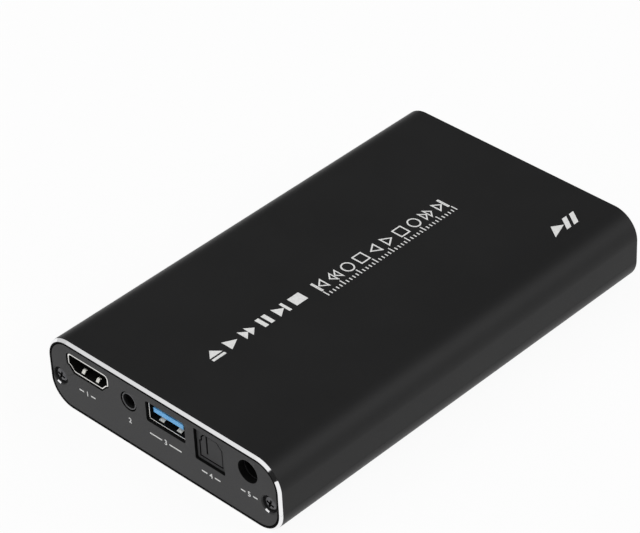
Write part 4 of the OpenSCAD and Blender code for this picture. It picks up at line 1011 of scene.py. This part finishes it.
milky = Finish("milky_light_pipe", (0.72, 0.76, 0.80), 0.22)
milky.set("Transmission Weight", 0.35)
milky.mottle(260, 0.04)
milky.rough(1500, 0.16, 0.28)
softened("status_light", milky, 0.12)


# ---------- hard drive casing ----------
# A 2.5 inch drive: a die-cast aluminium base, a pressed stainless cover held by six screws, and a
# blue circuit board under it with the plug that meets the socket.
cast = Finish("cast_aluminium", (0.50, 0.51, 0.53), 0.5, metal=0.85)
cast.mottle(cast.noise(260, 3), 0.05)
cast.rough(1300, 0.42, 0.6)
cast.bump(2600, 0.02, 0.5)
softened("drive_base", cast, 0.15)

brushed = Finish("brushed_cover", (0.70, 0.71, 0.73), 0.3, metal=1.0)
brushed.mottle(brushed.noise(300, 2, (1, 0.04, 1)), 0.04)
brushed.rough(brushed.noise(3200, 2, (1, 0.02, 1)), 0.24, 0.38)
brushed.bump(brushed.noise(5200, 1, (1, 0.02, 1)), 0.003, 0.4)
softened("drive_cover", brushed, 0.1)

oxide = Finish("black_oxide_screw", (0.10, 0.10, 0.105), 0.3, metal=1.0)
oxide.mottle(900, 0.015, 0.025)
oxide.rough(2600, 0.24, 0.38)
softened("drive_cover_screws", oxide, 0.08)

blue_mask = Finish("blue_circuit_board", (0.008, 0.045, 0.13), 0.32)
tracks(blue_mask, 330, (0.007, 0.038, 0.11), (0.011, 0.065, 0.18))
softened("drive_board", blue_mask, 0.06, 1)
softened("drive_board_chips", epoxy, 0.08)
softened("drive_plug", glossy_black, 0.1)
softened("drive_plug_contacts", gold, 0.03, 1)


# ---------- spindle ----------
# Inside the drive, a wound motor on the base turns an aluminium hub. Two polished platters are
# clamped on the hub with a spacer between them.
copper = Finish("copper_winding", (0.62, 0.28, 0.12), 0.32, metal=0.9)
copper.colour(900, (0.55, 0.23, 0.09), (0.70, 0.34, 0.16))
copper.bump(copper.lines(2200, "Z", 0.6), 0.03, 0.7)
softened("spindle_motor", copper, 0.08)

machined = Finish("machined_aluminium", (0.76, 0.77, 0.79), 0.26, metal=1.0)
machined.mottle(500, 0.04)
machined.rough(2400, 0.2, 0.34)
machined.bump(3800, 0.004, 0.3)
softened("spindle_hub", machined, 0.1)
softened("platter_clamp", machined, 0.1)

mirror = Finish("platter_mirror", (0.86, 0.86, 0.88), 0.04, metal=1.0)
mirror.rough(160, 0.03, 0.06)
softened("drive_platters", mirror, 0.1)


# ---------- head arm ----------
# The arm swings on a post beside the platters. Its copper coil moves between two magnets on steel
# yokes, and a moulded ramp holds the heads when they are parked.
softened("head_arm", machined, 0.06)
softened("voice_coil", copper, 0.15)
softened("voice_coil_yokes", zinc, 0.1)
ramp = Finish("ramp_plastic", (0.70, 0.67, 0.56), 0.4)
ramp.mottle(400, 0.04)
softened("head_ramp", ramp, 0.08)


# ---------- port plate ----------
# The plate over the sockets is stamped from aluminium and dyed dark grey. It lies just inside the
# sleeve's bevel and snaps to the tray, and two pan heads, sunk in counterbores, hold it to the
# screw channels.
plate_y, plate_t, plate_gap = 0.05, 1.95, 0.25
counterbore_r, counterbore_depth, screw_hole_r = 2.45, 1.2, 1.15
edge_break = 0.3
# A glint is painted on each counterbore's broken edge: a spot of bright metal between these angles.
glint_from, glint_to = -122, -96      # degrees round each counterbore
port_gap = 0.3                  # between a socket and its opening
hook_x, hook_w = 15, 5
cross_half, cross_half_w, cross_turn = 1.25, 0.33, 20

panel = Finish("dark_grey_plate", (0.028, 0.028, 0.029), 0.48, gloss=0.25)
panel.mottle(panel.noise(60, 3), 0.0015)
panel.rough(2600, 0.44, 0.52)
panel.bump(panel.noise(5200, 1), 0.004, 0.4)


def plate_outline():
    inset = seat_wall_t + plate_gap
    half = sleeve_w / 2 - inset
    return fillet(rectangle(-half, half, inset, sleeve_h - inset), corner_r - inset, 14)


def evaluated(holder):
    """The mesh that an object gives with its modifiers applied, or its figure drawn."""
    bpy.context.view_layer.update()
    return bpy.data.meshes.new_from_object(holder.evaluated_get(bpy.context.evaluated_depsgraph_get()))


def cut(mesh, tools):
    """Takes the tools' volume out of a mesh."""
    made = []
    for one in (mesh, joined(tools)):
        holder = bpy.data.objects.new("cutting", one)
        scene.collection.objects.link(holder)
        made.append(holder)
    taken = made[0].modifiers.new("cut", "BOOLEAN")
    taken.operation = "DIFFERENCE"
    taken.solver = "EXACT"
    taken.object = made[1]
    result = evaluated(made[0])
    for holder in made:
        bpy.data.objects.remove(holder)
    return result


def counterbores(face, inwards):
    """Cutters for the two counterbores, whose edges are broken; inwards is +1 or -1 along Y."""
    outside, seat = face - inwards, face + inwards * counterbore_depth
    tools = []
    for side in (-1, 1):
        work = bmesh.new()
        turned([(0, outside), (counterbore_r + edge_break + 1, outside),
                (counterbore_r, face + inwards * edge_break), (counterbore_r, seat), (0, seat)],
               side * screw_x, screw_z, work, 56)
        tools.append(finished(work))
    return tools


def paint_shade_and_glint(mesh):
    """Paints shade on a plate's edges and the walls of its openings with its second finish. Each
    counterbore keeps the first, with a painted glint of bright metal, its third finish, on a spot of its
    broken edge."""
    for face in mesh.polygons:
        if abs(face.normal.y) > 0.8:
            continue
        x, _, z = face.center
        spoke = Vector((x - (screw_x if x > 0 else -screw_x), z - screw_z))
        in_counterbore = spoke.length < counterbore_r + edge_break
        glint_spot = abs(face.normal.y) > 0.5 and glint_from < degrees(atan2(spoke.y, spoke.x)) < glint_to
        face.material_index = 1 if not in_counterbore else 2 if glint_spot else 0


screw_holes = [hole(circle(side * screw_x, screw_z, screw_hole_r)) for side in (-1, 1)]
grow = shell_t + port_gap
openings = [video_outline(grow, 1.3, 0.8), circle(av_x, av_z, av_collar_r + port_gap, 56),
            data_outline(port_gap, 0.7), optical_outline(port_gap, 0.4),
            circle(power_x, power_z, power_mouth_r, 56)]
plate = slab([plate_outline()] + [hole(o) for o in openings] + screw_holes, plate_y, plate_y + plate_t, 0.1)
plate = cut(plate, counterbores(plate_y, 1))
paint_shade_and_glint(plate)
hook = [(1.9, 5.4), (5.0, 5.4), (4.3, 7.1), (3.55, 7.1), (3.55, 6.5), (1.9, 6.5)]
work = bmesh.new()
for x in (-hook_x, hook_x):
    slab([fillet(hook, 0.1, 2)], x - hook_w / 2, x + hook_w / 2, 0.1, "yz", 1, work)
fit_for("port_plate", "port_plate_stamped", joined([plate, finished(work)]), [panel, shade_paint, cut_bright])


def pan_heads(face, inwards):
    """Two screws whose heads lie in the counterbores; inwards is +1 or -1 along Y."""
    seat = face + inwards * counterbore_depth
    head = [(0, 0.85), (1.0, 0.82), (1.5, 0.73), (1.82, 0.55), (1.95, 0.32), (1.95, 0)]
    shank = [(0.83, 0), (0.83, -5.4), (0.4, -6), (0, -6)]
    made = []
    for x in (-screw_x, screw_x):
        work = bmesh.new()
        turned([(r, seat - inwards * h) for r, h in head + shank], x, screw_z, work)
        screw = finished(work)
        for quarter in (0, 90):
            arm = bmesh.new()
            groove = rectangle(-cross_half, cross_half, -cross_half_w, cross_half_w)
            slab([groove], -0.45, 0.9, 0.05, "xz", 1, arm)
            arm.transform(Matrix.Translation((x, seat - inwards * 0.9, screw_z))
                          @ Matrix.Rotation(radians(quarter + cross_turn), 4, "Y"))
            screw = cut(screw, [finished(arm)])
        made.append(screw)
    return joined(made)


fit_for("port_plate_screws", "port_plate_pan_heads", pan_heads(plate_y, 1), oxide)


# ---------- numbers under the sockets ----------
# The sockets are told apart by plain numbers in white ink on the plate. Each stands between two
# short dashes, apart from the one under the round jack, which has no room for them.
number_h, number_t, number_bold = 1.6, 0.012, 0.035
height_of_size_1 = 0.73         # how high a figure stands when it is set in size 1
dash_h, dash_gap, dash_room = 0.4, 1.3, 3
labels = (                      # figure, left and right end, height of its middle
    ("1", -29.9, -24.0, 8.8),
    ("2", -12.4, -10.2, 8.8),
    ("3", -4.2, 7.0, 8.8),
    ("4", 13.9, 20.3, 7.0),
    ("5", 27.5, 33.1, 8.8),
)


def numeral(text, x, z):
    """A figure that faces the port end, centred on (x, z)."""
    figure = bpy.data.curves.new("figure", "FONT")
    figure.body = text
    figure.size = number_h / height_of_size_1
    figure.align_x = "CENTER"
    figure.align_y = "CENTER"
    figure.extrude = number_t
    figure.offset = number_bold
    holder = bpy.data.objects.new("figure", figure)
    scene.collection.objects.link(holder)
    mesh = evaluated(holder)
    bpy.data.objects.remove(holder)
    spans = list(zip(*[v.co for v in mesh.vertices]))
    centre = (Vector(map(min, spans)) + Vector(map(max, spans))) / 2
    mesh.transform(Matrix.Translation((x, plate_y - 0.008, z)) @ Matrix.Rotation(pi / 2, 4, "X")
                   @ Matrix.Translation(-centre))
    mesh.materials.clear()
    return mesh


printed = []
work = bmesh.new()
for text, x0, x1, z in labels:
    middle = (x0 + x1) / 2
    printed.append(numeral(text, middle, z))
    if x1 - x0 > dash_room:
        for side in (-1, 1):
            inner, outer = middle + side * dash_gap, middle + side * (x1 - x0) / 2
            slab([rectangle(min(inner, outer), max(inner, outer), z - dash_h / 2, z + dash_h / 2)],
                 plate_y - 0.02, plate_y + 0.02, work=work)
printed.append(finished(work))
fit("socket_numbers", joined(printed), ink, "tray", slot_of["port_plate"])


# ---------- window plate ----------
# The far plate closes the other end of the sleeve. A smoked lens for the remote control and a
# milky light pipe are pressed into it from inside.
window_x, light_x, window_z, window_r, light_r, flange_t = 20.0, 28.0, 15.8, 2.5, 1.2, 0.1
far_y = sleeve_l - plate_y
plate = slab([plate_outline(), hole(circle(window_x, window_z, window_r, 56)),
              hole(circle(light_x, window_z, light_r))] + screw_holes, far_y - plate_t, far_y, 0.1)
plate = cut(plate, counterbores(far_y, -1))
paint_shade_and_glint(plate)
fit_for("end_plate", "window_plate_stamped", plate, [panel, shade_paint, cut_bright])
fit_for("end_plate_screws", "window_plate_pan_heads", pan_heads(far_y, -1), oxide)


def pressed_lens(x, r, flange, crown, work):
    """A lens with a crowned face just inside the plate's own, and a flange behind the plate."""
    face = far_y - 0.05
    back = far_y - plate_t - 0.05
    turned([(0, face), (r * 0.5, face - crown * 0.25), (r * 0.85, face - crown * 0.75), (r, face - crown),
            (r, back), (r + flange, back), (r + flange, back - flange_t), (0, back - flange_t)],
           x, window_z, work)


work = bmesh.new()
pressed_lens(window_x, window_r - 0.05, 0.4, 0.2, work)
fit_for("remote_window", "remote_window_lens", finished(work), smoked)
work = bmesh.new()
pressed_lens(light_x, light_r - 0.05, 0.5, 0.15, work)
fit_for("status_light_pipe", "status_light_rod", finished(work), milky)
